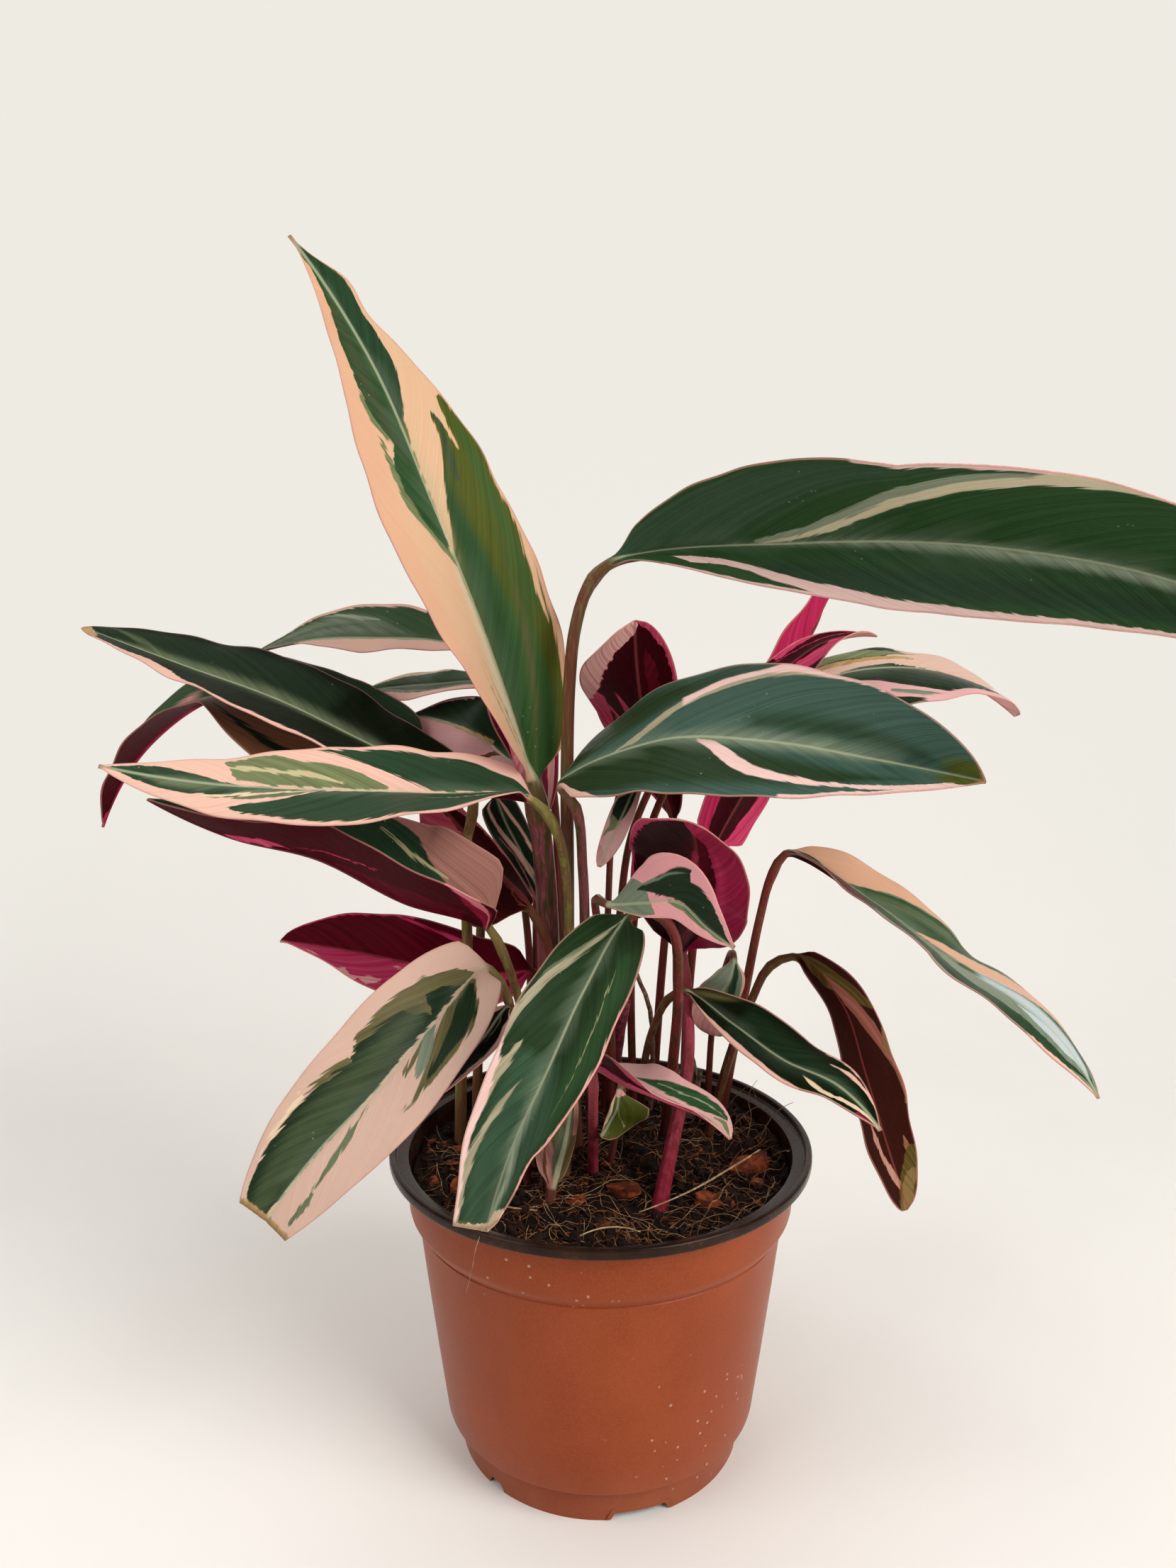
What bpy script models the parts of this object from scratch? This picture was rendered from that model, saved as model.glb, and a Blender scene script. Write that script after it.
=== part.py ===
"""Potted stromanthe: a nursery pot of soil with a clump of long, variegated leaves.

Run it with: blender --background --python part.py
Sizes are in millimetres and are turned into metres when an object is made.
The origin is the middle of the pot's underside, +X is the photograph's right and +Z is up.
Every leaf is one piece, its stem and blade together, and stands in its own hole in the soil.
"""

import math

import bmesh
import bpy
import numpy as np

MM = 0.001
CLEARANCE = 0.3

# The pot.
POT_HEIGHT = 126.3
RIM_RADIUS = 85.0
RIM_INNER_RADIUS = 82.5
RIM_HEIGHT = 4.0
COLLAR_RADIUS = 78.0
COLLAR_BOTTOM = 100.0
BODY_TOP_RADIUS = 74.0
BODY_BOTTOM_RADIUS = 63.6
FOOT_RADIUS = 57.5
FOOT_HEIGHT = 14.0
WALL = 1.3
FLOOR = 1.5
POT_SEGMENTS = 48

# The drain channels under the pot: three wide ones and three narrow ones.
CHANNEL_HEIGHT = 3.0
CHANNEL_SLOPE = 2.0
WIDE_CHANNEL = 24.0
NARROW_CHANNEL = 9.0
WIDE_CHANNEL_ANGLES = (-75, 45, 165)
NARROW_CHANNEL_ANGLES = (-15, 105, 225)
CHANNEL_INNER_END = 20.0
DRAIN_HOLE_RADIUS = 3.5
DRAIN_HOLE_DISTANCE = 32.0

# The soil.
SOIL_TOP = 115.0
SOIL_BOTTOM = FLOOR + CHANNEL_HEIGHT + CLEARANCE
SOIL_SEGMENTS = 36
FACET_SAG = 0.15
HOLE_TOP = 122.0
ROOT_BOTTOM = 97.0

# Leaf meshing: a ring holds five points over the leaf and five under it.
ACROSS = (1.0, 0.5, 0.0, -0.5, -1.0)
RING = 2 * len(ACROSS)
MIDDLE_THICKNESS = 0.9
EDGE_THICKNESS = 0.7
NARROWEST_HALF = 0.8
SPREAD_SHARE = 0.06
SHORTEST_SPREAD = 6.0
RING_SPACING = 17.0
STEM_SPACING = 30.0


def leaf(stem, midrib, radius, half, belly, full, face, twist, fold, curl, cut=1.0, bumps=()):
    """One leaf's own values.

    stem and midrib are points from the foot up and from the neck to the tip; radius is the stem's
    at its foot and neck; half is the blade's widest half on its left and right; belly says how far
    along it is widest and full how quickly it widens; face is the azimuth and elevation that the
    upper side looks to; twist turns its base and tip; fold raises both halves at base and tip;
    curl bends them down again; cut is less than 1 where a dry tip was trimmed off; bumps are
    (side, place, height, spread) swellings of one edge. Spread is the share of the blade over
    which the round stem turns into the flat blade.
    """
    length = np.linalg.norm(np.diff(np.array(midrib, float), axis=0), axis=1).sum()
    return {
        "points": np.array(stem + midrib, float), "neck": len(stem), "radius": radius,
        "spread": max(SPREAD_SHARE, SHORTEST_SPREAD / length),
        "half": half, "belly": belly, "full": full, "face": face, "twist": twist,
        "fold": fold, "curl": curl, "cut": cut, "bumps": bumps,
    }


LEAVES = {
    "upright_leaf": leaf(
        stem=[(-23, 21, 97), (-22, 18, 115), (-21, 10, 184), (-22, 4, 236)],
        midrib=[(-26, -2, 270), (-43, -2, 326), (-63, -3, 378), (-85, 3, 429), (-115, 9, 475)],
        radius=(5, 4), half=(29, 30), belly=0.34, full=2,
        face=(303, 22), twist=(-11, 12), fold=(46, -13), curl=10,
        bumps=[("right", 0.9, 5, 0.05), ("right", 0.62, 3, 0.12)]),
    "right_arching_leaf": leaf(
        stem=[(-10, 13, 97), (-10, 11, 115), (-13, 2, 187), (-13, -6, 240), (-13, -9, 280), (-12, -9, 312), (-10, -8, 331), (-6, -5, 345)],
        midrib=[(2, 7, 355), (69, -33, 362), (123, -74, 359), (168, -106, 347), (201, -137, 324)],
        radius=(3, 2.2), half=(39.5, 24.5), belly=0.51, full=1.6,
        face=(204, -13), twist=(44, 14), fold=(41, 32), curl=-8),
    "left_upper_leaf": leaf(
        stem=[(-60, 21, 97), (-59, 17, 115), (-57, 9, 154), (-52, -9, 207), (-52, -9, 247)],
        midrib=[(-51, 5, 268), (-89, 9, 285), (-128, 15, 303), (-170, 23, 317), (-210, 30, 331)],
        radius=(2.6, 1.8), half=(24, 24.5), belly=0.51, full=1.3,
        face=(319, 49), twist=(4, -13), fold=(17, 18), curl=8),
    "left_level_leaf": leaf(
        stem=[(-15, -6, 97), (-14, -7, 115), (-13, -8, 190), (-13, -17, 237), (-18, -25, 261)],
        midrib=[(-25, -19, 268), (-64, -29, 273), (-102, -39, 276), (-139, -44, 279), (-174, -49, 286)],
        radius=(2.2, 1.7), half=(21.5, 20.5), belly=0.3, full=1.2,
        face=(286, 51), twist=(-28, 7), fold=(34, -5), curl=11),
    "back_left_leaf": leaf(
        stem=[(-14, 59, 97), (-15, 57, 115), (-17, 42, 205), (-24, 40, 282)],
        midrib=[(-43, 37, 318), (-68, 45, 325), (-95, 52, 326), (-123, 60, 325), (-151, 66, 319)],
        radius=(2, 1.6), half=(14.5, 15.5), belly=0.51, full=2.3,
        face=(256, 44), twist=(-1, -28), fold=(29, 23), curl=0),
    "back_low_leaf": leaf(
        stem=[(-22, 57, 97), (-23, 54, 115), (-24, 43, 206), (-29, 46, 273)],
        midrib=[(-36, 40, 302), (-51, 43, 308), (-68, 46, 307), (-85, 58, 305), (-104, 70, 302)],
        radius=(2, 1.6), half=(11, 10.5), belly=0.5, full=1.5,
        face=(199, 53), twist=(-21, 10), fold=(12, 9), curl=15),
    "back_dark_leaf": leaf(
        stem=[(-30, 47, 97), (-30, 45, 115), (-27, 36, 191), (-28, 34, 244)],
        midrib=[(-32, 28, 272), (-43, 34, 280), (-54, 34, 288), (-67, 41, 292), (-82, 49, 293)],
        radius=(2, 1.6), half=(12.5, 16), belly=0.4, full=1.6,
        face=(273, 18), twist=(-29, -15), fold=(36, -9), curl=9),
    "brown_striped_leaf": leaf(
        stem=[(-55, 36, 97), (-54, 35, 115), (-52, 34, 176), (-53, 34, 238)],
        midrib=[(-72, 30, 276), (-113, 35, 290), (-156, 45, 303), (-189, 47, 284), (-215, 49, 245)],
        radius=(2.2, 1.7), half=(33, 28), belly=0.36, full=1.5,
        face=(204, 61), twist=(50, -3), fold=(-3, 40), curl=9),
    "purple_backed_leaf": leaf(
        stem=[(-27, 1, 97), (-27, -1, 115), (-30, -6, 175), (-37, -18, 208)],
        midrib=[(-42, -20, 219), (-73, -29, 233), (-104, -29, 249), (-136, -29, 257), (-165, -30, 271)],
        radius=(2, 1.6), half=(25, 30), belly=0.25, full=1,
        face=(27, 82), twist=(32, 0), fold=(60, 27), curl=-5),
    "dark_purple_leaf": leaf(
        stem=[(-24, -7, 97), (-23, -7, 115), (-19, -6, 178), (-21, -12, 212)],
        midrib=[(-27, -14, 225), (-38, 1, 233), (-50, 14, 243), (-61, 23, 254), (-73, 32, 265)],
        radius=(2, 1.6), half=(9, 22.5), belly=0.37, full=1.1,
        face=(109, -11), twist=(-22, 11), fold=(38, 3), curl=5),
    "magenta_backed_leaf": leaf(
        stem=[(-9, 51, 97), (-11, 46, 115), (-13, 36, 149), (-21, 31, 178)],
        midrib=[(-28, 18, 190), (-54, 16, 189), (-80, 15, 195), (-106, 19, 199), (-133, 22, 202)],
        radius=(2, 1.6), half=(16.5, 19), belly=0.46, full=1,
        face=(262, 30), twist=(5, -50), fold=(6, 34), curl=6),
    "low_left_leaf": leaf(
        stem=[(-34, 3, 97), (-34, -1, 115), (-35, -12, 168), (-36, -26, 196)],
        midrib=[(-42, -22, 204), (-62, -46, 190), (-80, -62, 172), (-98, -72, 155), (-115, -78, 133)],
        radius=(2, 1.6), half=(22.5, 24.5), belly=0.38, full=1,
        face=(262, 19), twist=(1, -2), fold=(40, 8), curl=2, cut=0.9),
    "narrow_dark_leaf": leaf(
        stem=[(-29, -14, 97), (-29, -17, 115), (-27, -24, 162), (-28, -30, 187)],
        midrib=[(-34, -27, 191), (-43, -36, 183), (-52, -44, 175), (-62, -51, 167), (-71, -59, 162)],
        radius=(1.6, 1.2), half=(8, 8), belly=0.34, full=1.6,
        face=(29, 61), twist=(20, -5), fold=(11, 13), curl=14),
    "front_leaf": leaf(
        stem=[(28, 37, 97), (28, 25, 115), (29, -3, 159), (29, -24, 199), (25, -36, 225), (17, -40, 232)],
        midrib=[(11, -36, 229), (-6, -62, 210), (-18, -81, 189), (-30, -91, 165), (-37, -107, 146)],
        radius=(2.4, 1.8), half=(20.5, 19), belly=0.41, full=1,
        face=(245, 20), twist=(-2, -22), fold=(14, 32), curl=3, cut=0.86),
    "right_middle_leaf": leaf(
        stem=[(-2, 26, 97), (-3, 21, 115), (-6, 0, 187), (-7, -8, 239), (-10, -16, 266)],
        midrib=[(-15, -19, 273), (20, -36, 293), (56, -54, 295), (89, -70, 291), (116, -97, 288)],
        radius=(2.4, 1.8), half=(29, 28), belly=0.45, full=1.2,
        face=(215, 38), twist=(18, -6), fold=(-5, 40), curl=8),
    "crimson_leaf": leaf(
        stem=[(25, 65, 97), (25, 61, 115), (27, 50, 170), (31, 46, 229)],
        midrib=[(31, 34, 250), (24, 25, 272), (18, 15, 294), (14, 2, 315), (12, -15, 335)],
        radius=(2, 1.6), half=(16, 24), belly=0.6, full=1.3,
        face=(58, -8), twist=(4, -49), fold=(24, -5), curl=14),
    "crimson_upright_leaf": leaf(
        stem=[(37, 55, 97), (38, 52, 115), (39, 44, 172), (42, 38, 212)],
        midrib=[(46, 33, 238), (63, 40, 269), (76, 46, 303), (92, 51, 335), (108, 54, 367)],
        radius=(2.2, 1.8), half=(20.5, 20), belly=0.25, full=1,
        face=(131, 28), twist=(9, -19), fold=(0, 31), curl=11),
    "rolled_crimson_leaf": leaf(
        stem=[(15, 47, 97), (15, 42, 115), (14, 20, 211), (21, 2, 259), (31, -7, 281)],
        midrib=[(41, -8, 291), (54, -6, 304), (70, -3, 316), (87, 4, 326), (107, 9, 328)],
        radius=(1.8, 1.4), half=(12, 10.5), belly=0.47, full=1.2,
        face=(59, -58), twist=(-6, 26), fold=(24, -14), curl=19),
    "right_back_leaf": leaf(
        stem=[(7, 59, 97), (7, 54, 115), (8, 26, 209), (14, 12, 254), (28, 5, 282)],
        midrib=[(45, 6, 294), (74, 11, 307), (106, 17, 315), (141, 26, 312), (171, 32, 295)],
        radius=(1.8, 1.4), half=(14, 24.5), belly=0.53, full=1,
        face=(330, 48), twist=(-11, 16), fold=(-10, 36), curl=33),
    "right_long_leaf": leaf(
        stem=[(52, 43, 97), (54, 41, 115), (58, 34, 150), (61, 24, 179), (65, 12, 216), (68, 8, 232)],
        midrib=[(73, 4, 243), (103, -17, 229), (128, -39, 212), (153, -56, 198), (166, -79, 178)],
        radius=(2.2, 1.6), half=(20, 20), belly=0.49, full=1.8,
        face=(105, 74), twist=(-26, -15), fold=(39, -12), curl=12),
    "right_drooping_leaf": leaf(
        stem=[(44, 29, 97), (47, 25, 115), (55, 16, 157), (62, 10, 181), (69, 10, 195)],
        midrib=[(78, 10, 199), (97, 6, 180), (106, -1, 154), (115, -4, 126), (125, -5, 97)],
        radius=(2.2, 1.6), half=(15.5, 16.5), belly=0.52, full=1,
        face=(130, -7), twist=(9, -2), fold=(-2, -1), curl=26),
    "right_front_leaf": leaf(
        stem=[(18, 43, 97), (18, 32, 115), (18, 8, 153), (21, -4, 174), (27, -13, 190)],
        midrib=[(32, -18, 194), (49, -35, 187), (65, -52, 180), (82, -65, 176), (93, -80, 167)],
        radius=(1.8, 1.4), half=(13.5, 12.5), belly=0.48, full=1.9,
        face=(310, 19), twist=(-18, -11), fold=(39, -4), curl=9),
    "small_pink_leaf": leaf(
        stem=[(4, 33, 97), (4, 25, 115), (4, -2, 173), (-1, -15, 218), (-2, -31, 234)],
        midrib=[(2, -43, 235), (14, -56, 239), (26, -67, 242), (34, -75, 236), (43, -79, 230)],
        radius=(2, 1.4), half=(16.5, 6), belly=0.51, full=2,
        face=(281, 14), twist=(36, -11), fold=(10, 19), curl=9),
    "round_crimson_leaf": leaf(
        stem=[(16, -49, 97), (23, -30, 115), (28, -15, 129), (36, 8, 155), (36, 15, 179)],
        midrib=[(34, 22, 197), (36, 0, 217), (36, -22, 236), (34, -43, 253), (29, -68, 270)],
        radius=(3.2, 2.2), half=(22, 29.5), belly=0.52, full=1,
        face=(68, -8), twist=(-17, -12), fold=(7, 6), curl=16),
    "pale_hanging_leaf": leaf(
        stem=[(1, 56, 97), (2, 49, 115), (3, 14, 213), (6, 2, 262), (11, -8, 278)],
        midrib=[(15, -12, 277), (11, -16, 269), (7, -20, 261), (3, -22, 253), (-1, -26, 245)],
        radius=(1.6, 1.2), half=(5.5, 5.5), belly=0.46, full=1,
        face=(243, 62), twist=(1, 7), fold=(34, -6), curl=11),
    "small_grey_leaf": leaf(
        stem=[(47, 47, 97), (48, 44, 115), (49, 34, 163), (52, 16, 194), (53, 6, 202)],
        midrib=[(53, -1, 202), (52, -1, 194), (49, 5, 185), (47, 9, 175), (51, 18, 162)],
        radius=(1.5, 1.2), half=(7.5, 10), belly=0.5, full=1,
        face=(278, 42), twist=(9, 4), fold=(19, 9), curl=10),
    "low_folded_leaf": leaf(
        stem=[(-3, 0, 97), (-3, -9, 115), (-3, -24, 142), (-3, -46, 168)],
        midrib=[(-3, -50, 177), (9, -65, 177), (21, -73, 175), (33, -79, 172), (41, -92, 170)],
        radius=(2.4, 1.6), half=(12, 8.5), belly=0.41, full=1.3,
        face=(147, 69), twist=(50, 6), fold=(46, 17), curl=-2),
    "striped_inner_leaf": leaf(
        stem=[(-32, 30, 97), (-32, 31, 115), (-30, 34, 191), (-36, 35, 240), (-40, 36, 256)],
        midrib=[(-43, 30, 262), (-40, 25, 254), (-33, 24, 240), (-27, 22, 227), (-22, 21, 214)],
        radius=(1.8, 1.4), half=(8, 8.5), belly=0.25, full=1,
        face=(283, 45), twist=(-23, 0), fold=(17, 22), curl=6),
    "small_green_leaf": leaf(
        stem=[(3, 11, 97), (4, -1, 115), (6, -12, 133), (8, -17, 149), (8, -23, 158)],
        midrib=[(7, -29, 159), (6, -30, 152), (4, -28, 147), (2, -28, 143), (0, -31, 141)],
        radius=(1.6, 1.2), half=(12.5, 3), belly=0.32, full=1.1,
        face=(291, 11), twist=(-15, -2), fold=(20, 11), curl=13),
    "striped_sheath": leaf(
        stem=[(-20, -31, 97)],
        midrib=[(-19, -30, 119), (-17, -27, 127), (-14, -28, 139), (-12, -24, 149), (-11, -20, 160)],
        radius=(2.5, 2), half=(8, 10), belly=0.41, full=1.6,
        face=(125, -6), twist=(14, -3), fold=(25, 18), curl=4),
    "magenta_sheath": leaf(
        stem=[(-20, 48, 97), (-19, 42, 115), (-18, 22, 180), (-20, 15, 230)],
        midrib=[(-22, 12, 253), (-24, 12, 271), (-29, 13, 289), (-33, 14, 306), (-38, 15, 323)],
        radius=(2.4, 1.8), half=(15.5, 14.5), belly=0.6, full=1.8,
        face=(308, 23), twist=(-21, 39), fold=(25, 8), curl=9),
}

# A cut sheath and a withered stem, as (foot to top points, foot radius, top radius).
STALKS = {
    "cut_sheath": ([(6, 41, 97), (6, 32, 115), (7, 10, 160), (10, 2, 183)], 3.0, 2.3),
    "withered_stem": (
        [(23, 54, 97), (23, 49, 115), (23, 34, 151), (20, 16, 177), (15, 6, 192), (13, 2, 198)],
        1.2, 0.8,
    ),
}

# The dry stub is one woody base with the remains of four old stems on it.
STUB_BASE = [(40, 42, 100), (40, 42, 120)]
STUB_BASE_RADIUS = 4.0
STUB_STEMS = (
    ([(39, 41, 118), (36, 40, 131), (33, 40, 142)], 1.7, 0.9),
    ([(41, 43, 118), (42, 42, 133), (40, 40, 147)], 1.6, 0.8),
    ([(41, 41, 118), (43, 39, 129), (44, 37, 138)], 1.5, 0.8),
    ([(39, 43, 118), (37, 46, 128), (33, 49, 134)], 1.4, 0.8),
)

# Bark chips half sunk in the soil: centre, half sizes, turn and tilt in degrees.
BARK_CHIPS = {
    "bark_chip_1": ((60, -6, 116), (9, 6, 2.6), 20, 14),
    "bark_chip_2": ((9, -24, 115.6), (8, 4, 2.2), -35, 18),
    "bark_chip_3": ((42, -32, 115), (7, 5, 2.2), 10, -12),
    "bark_chip_4": ((-54, -18, 115), (8, 4, 2.2), 60, 10),
}
CHIP_RADII = (1.0, 0.86, 1.05, 0.9, 0.98, 0.8, 1.02)


def clear_scene():
    for thing in list(bpy.data.objects):
        bpy.data.objects.remove(thing, do_unlink=True)


def finish(name, colour, roughness):
    made = bpy.data.materials.new(name)
    made.use_nodes = True
    shader = made.node_tree.nodes["Principled BSDF"]
    shader.inputs["Base Color"].default_value = (*colour, 1.0)
    shader.inputs["Roughness"].default_value = roughness
    return made


def add_piece(name, verts, faces, material=None, smooth=True):
    """Makes an object from points in millimetres, with its faces turned outward."""
    mesh = bpy.data.meshes.new(name)
    mesh.from_pydata([tuple(MM * v) for v in np.asarray(verts, float)], [], [tuple(f) for f in faces])
    build = bmesh.new()
    build.from_mesh(mesh)
    bmesh.ops.recalc_face_normals(build, faces=build.faces)
    if build.calc_volume(signed=True) < 0:
        bmesh.ops.reverse_faces(build, faces=build.faces)
    build.to_mesh(mesh)
    build.free()
    for polygon in mesh.polygons:
        polygon.use_smooth = smooth
    piece = bpy.data.objects.new(name, mesh)
    bpy.context.scene.collection.objects.link(piece)
    if material:
        mesh.materials.append(material)
    return piece


def combine(piece, other, operation):
    """Runs one Boolean on the piece and removes the other object."""
    step = piece.modifiers.new(operation.lower(), "BOOLEAN")
    step.operation = operation
    step.solver = "EXACT"
    step.object = other
    depsgraph = bpy.context.evaluated_depsgraph_get()
    mesh = bpy.data.meshes.new_from_object(piece.evaluated_get(depsgraph))
    piece.modifiers.clear()
    old = piece.data
    piece.data = mesh
    bpy.data.meshes.remove(old)
    bpy.data.objects.remove(other, do_unlink=True)


def unit(vectors):
    return vectors / np.linalg.norm(vectors, axis=-1, keepdims=True)


def smooth_path(points, steps=24):
    """A smooth line through the points, with the place of each point on it."""
    gaps = np.linalg.norm(np.diff(points, axis=0), axis=1) ** 0.75
    at = np.concatenate([[0.0], np.cumsum(gaps)])
    slopes = np.diff(points, axis=0) / gaps[:, None]
    tangents = np.empty_like(points)
    before, after = gaps[:-1, None], gaps[1:, None]
    tangents[1:-1] = (slopes[:-1] * after + slopes[1:] * before) / (before + after)
    tangents[0] = 2 * slopes[0] - tangents[1] if len(points) > 2 else slopes[0]
    tangents[-1] = 2 * slopes[-1] - tangents[-2] if len(points) > 2 else slopes[0]
    line = []
    u = np.linspace(0, 1, steps, endpoint=False)[:, None]
    for i, gap in enumerate(gaps):
        line.append(
            (2 * u**3 - 3 * u**2 + 1) * points[i]
            + (u**3 - 2 * u**2 + u) * gap * tangents[i]
            + (3 * u**2 - 2 * u**3) * points[i + 1]
            + (u**3 - u**2) * gap * tangents[i + 1]
        )
    line.append(points[-1:])
    return np.concatenate(line), np.arange(len(points)) * steps


def arc_lengths(line):
    return np.concatenate([[0.0], np.cumsum(np.linalg.norm(np.diff(line, axis=0), axis=1))])


def sample(line, arc, places):
    return np.stack([np.interp(places, arc, line[:, k]) for k in range(3)], axis=-1)


def carried_normals(tangents, start, normal):
    """The normal given at one place, carried along the line both ways without twisting."""
    normals = np.zeros_like(tangents)
    normals[start] = unit(normal - (normal @ tangents[start]) * tangents[start])
    for i in range(start + 1, len(tangents)):
        normals[i] = unit(normals[i - 1] - (normals[i - 1] @ tangents[i]) * tangents[i])
    for i in range(start - 1, -1, -1):
        normals[i] = unit(normals[i + 1] - (normals[i + 1] @ tangents[i]) * tangents[i])
    return normals


def direction(azimuth, elevation):
    a, e = math.radians(azimuth), math.radians(elevation)
    return np.array([math.cos(e) * math.cos(a), math.cos(e) * math.sin(a), math.sin(e)])


def leaf_frames(spec, stations=None):
    """Centres, normals and sides at the stations, where 0 is the neck and 1 the tip."""
    line, index = smooth_path(spec["points"])
    arc = arc_lengths(line)
    neck, tip = arc[index[spec["neck"]]], arc[-1]
    tangents = unit(np.gradient(line, arc, axis=0))
    middle = int(np.searchsorted(arc, 0.5 * (neck + tip)))
    normals = carried_normals(tangents, middle, direction(*spec["face"]))
    if stations is None:
        stations = leaf_stations(line, arc, neck, tip, spec["spread"])
    places = neck + stations * (tip - neck)
    along = unit(sample(tangents, arc, places))
    up = sample(normals, arc, places)
    up = unit(up - np.sum(up * along, axis=1, keepdims=True) * along)
    base_twist, tip_twist = spec["twist"]
    toward_base = np.clip(1 - 2 * stations, 0, 1)
    toward_tip = np.clip(2 * stations - 1, 0, 1)
    turn = np.radians(base_twist * toward_base + tip_twist * toward_tip)[:, None]
    up = np.cos(turn) * up + np.sin(turn) * np.cross(up, along)
    return stations, sample(line, arc, places), up, np.cross(up, along)


def leaf_stations(line, arc, neck, tip, spread):
    """Rings up the stem, the first one just above the soil, and then along the blade."""
    length = tip - neck
    above_soil = min(arc[np.argmax(line[:, 2] > HOLE_TOP)], neck)
    stem_rings = max(1, round((neck - above_soil) / STEM_SPACING))
    stem = np.linspace(above_soil, neck, stem_rings, endpoint=False)
    if above_soil >= neck:
        stem = np.array([])
    blade_rings = int(np.clip(round(length / RING_SPACING), 6, 13))
    even = np.linspace(0, 1, blade_rings + 1)[1:]
    start = np.array([0.0, 0.35, 0.85]) * spread
    blade = start[-1] + (1 - start[-1]) * (even - 0.06 * np.sin(2 * math.pi * even))
    return np.concatenate([[-neck / length], (stem - neck) / length, start, blade])


def blade_width(spec, stations):
    place = np.clip(stations, 0, 1) * spec["cut"]
    belly, full = spec["belly"], spec["full"]
    return (place / belly) ** (full * belly) * ((1 - place) / (1 - belly)) ** (full * (1 - belly))


def blade_section(spec, stations, across):
    """Sideways and upward distance from the midrib, and the slope, at each station and place across."""
    across = np.asarray(across)[None, :]
    width = blade_width(spec, stations)[:, None]
    half = np.where(across >= 0, spec["half"][0], spec["half"][1]) * width
    for side, place, height, spread in spec["bumps"]:
        swell = height * np.exp(-(((stations - place) / spread) ** 2))[:, None]
        half = half + np.where((across >= 0) == (side == "left"), swell, 0) * (stations < 0.99)[:, None]
    half = np.maximum(half, NARROWEST_HALF)
    base_fold, tip_fold = spec["fold"]
    fold = np.radians(base_fold + (tip_fold - base_fold) * stations)[:, None]
    curl = math.radians(spec["curl"]) if abs(spec["curl"]) > 0.1 else 0.001
    slope = fold - curl * np.abs(across)
    sideways = half * (np.sin(fold) - np.sin(slope)) / curl * np.sign(across)
    upward = half * (np.cos(slope) - np.cos(fold)) / curl
    return sideways, upward, slope * np.sign(across)


def leaf_rings(spec):
    """The leaf as rings of points, round on the stem and thin and folded on the blade."""
    stations, centres, up, side = leaf_frames(spec)
    foot_radius, neck_radius = spec["radius"]
    radius = np.interp(stations, [stations[0], 0.0], [foot_radius, neck_radius])[:, None]
    sideways, upward, slope = blade_section(spec, stations, ACROSS)
    thickness = MIDDLE_THICKNESS + (EDGE_THICKNESS - MIDDLE_THICKNESS) * np.abs(ACROSS)
    rib = np.zeros_like(sideways)
    rib[:, len(ACROSS) // 2] = 0.7 * (2 * neck_radius - 1) * (1 - np.clip(stations, 0, 1)) ** 1.3
    over = np.stack([sideways - np.sin(slope) * thickness / 2, upward + np.cos(slope) * thickness / 2], -1)
    drop = thickness / 2 + rib
    under = np.stack([sideways + np.sin(slope) * drop, upward - np.cos(slope) * drop], -1)
    blade = np.concatenate([over, under[:, ::-1]], axis=1)
    angles = np.radians(18 + 36 * np.arange(RING))
    stem = np.stack([np.cos(angles), np.sin(angles)], -1)[None] * radius[..., None]
    share = np.clip(stations / spec["spread"], 0, 1)[:, None, None]
    share = share * share * (3 - 2 * share)
    ring = stem * (1 - share) + blade * share
    return centres, centres[:, None] + side[:, None] * ring[..., :1] + up[:, None] * ring[..., 1:]


def loft(rings, flipped=()):
    """Joins rings of equal count into a closed skin of triangles.

    The flipped columns take the other diagonal, so that both sides of a thin blade are cut alike.
    """
    count = rings.shape[1]
    faces = []
    for i in range(len(rings) - 1):
        for j in range(count):
            a, b = i * count + j, i * count + (j + 1) % count
            c, d = b + count, a + count
            faces += [(a, b, d), (b, c, d)] if j in flipped else [(a, b, c), (a, c, d)]
    for base in (0, (len(rings) - 1) * count):
        for j in range(count // 2 - 1):
            a, b, c, d = base + j, base + j + 1, base + count - 2 - j, base + count - 1 - j
            faces += [(a, b, c), (a, c, d)]
    return rings.reshape(-1, 3), faces


LEAF_FLIPS = (2, 3, 7, 8)


def tube_rings(points, foot_radius, top_radius, count=RING, rings=8, steps=12):
    line, _ = smooth_path(np.array(points, float), steps)
    arc = arc_lengths(line)
    tangents = unit(np.gradient(line, arc, axis=0))
    normals = carried_normals(tangents, 0, np.array([0.0, -1.0, 0.1]))
    places = np.linspace(0, arc[-1], rings)
    along = unit(sample(tangents, arc, places))
    up = unit(sample(normals, arc, places))
    side = np.cross(up, along)
    angles = 2 * math.pi * np.arange(count) / count
    radius = np.linspace(foot_radius, top_radius, rings)[:, None, None]
    ring = np.cos(angles)[None, :, None] * side[:, None] + np.sin(angles)[None, :, None] * up[:, None]
    centres = sample(line, arc, places)
    return centres, centres[:, None] + radius * ring


def hole_for(centres, rings):
    """A straight plug round a stem's buried end, wider by the clearance and open above the soil."""
    grown = []
    along = unit(centres[1] - centres[0])
    for centre, ring, shift in ((centres[0], rings[0], -CLEARANCE), (centres[1], rings[1], 4.0)):
        spokes = ring - centre
        size = np.linalg.norm(spokes, axis=1, keepdims=True)
        grown.append(centre + spokes * (1 + 1.15 * CLEARANCE / size) + along * shift)
    return add_piece("hole", *loft(np.array(grown)))


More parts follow.
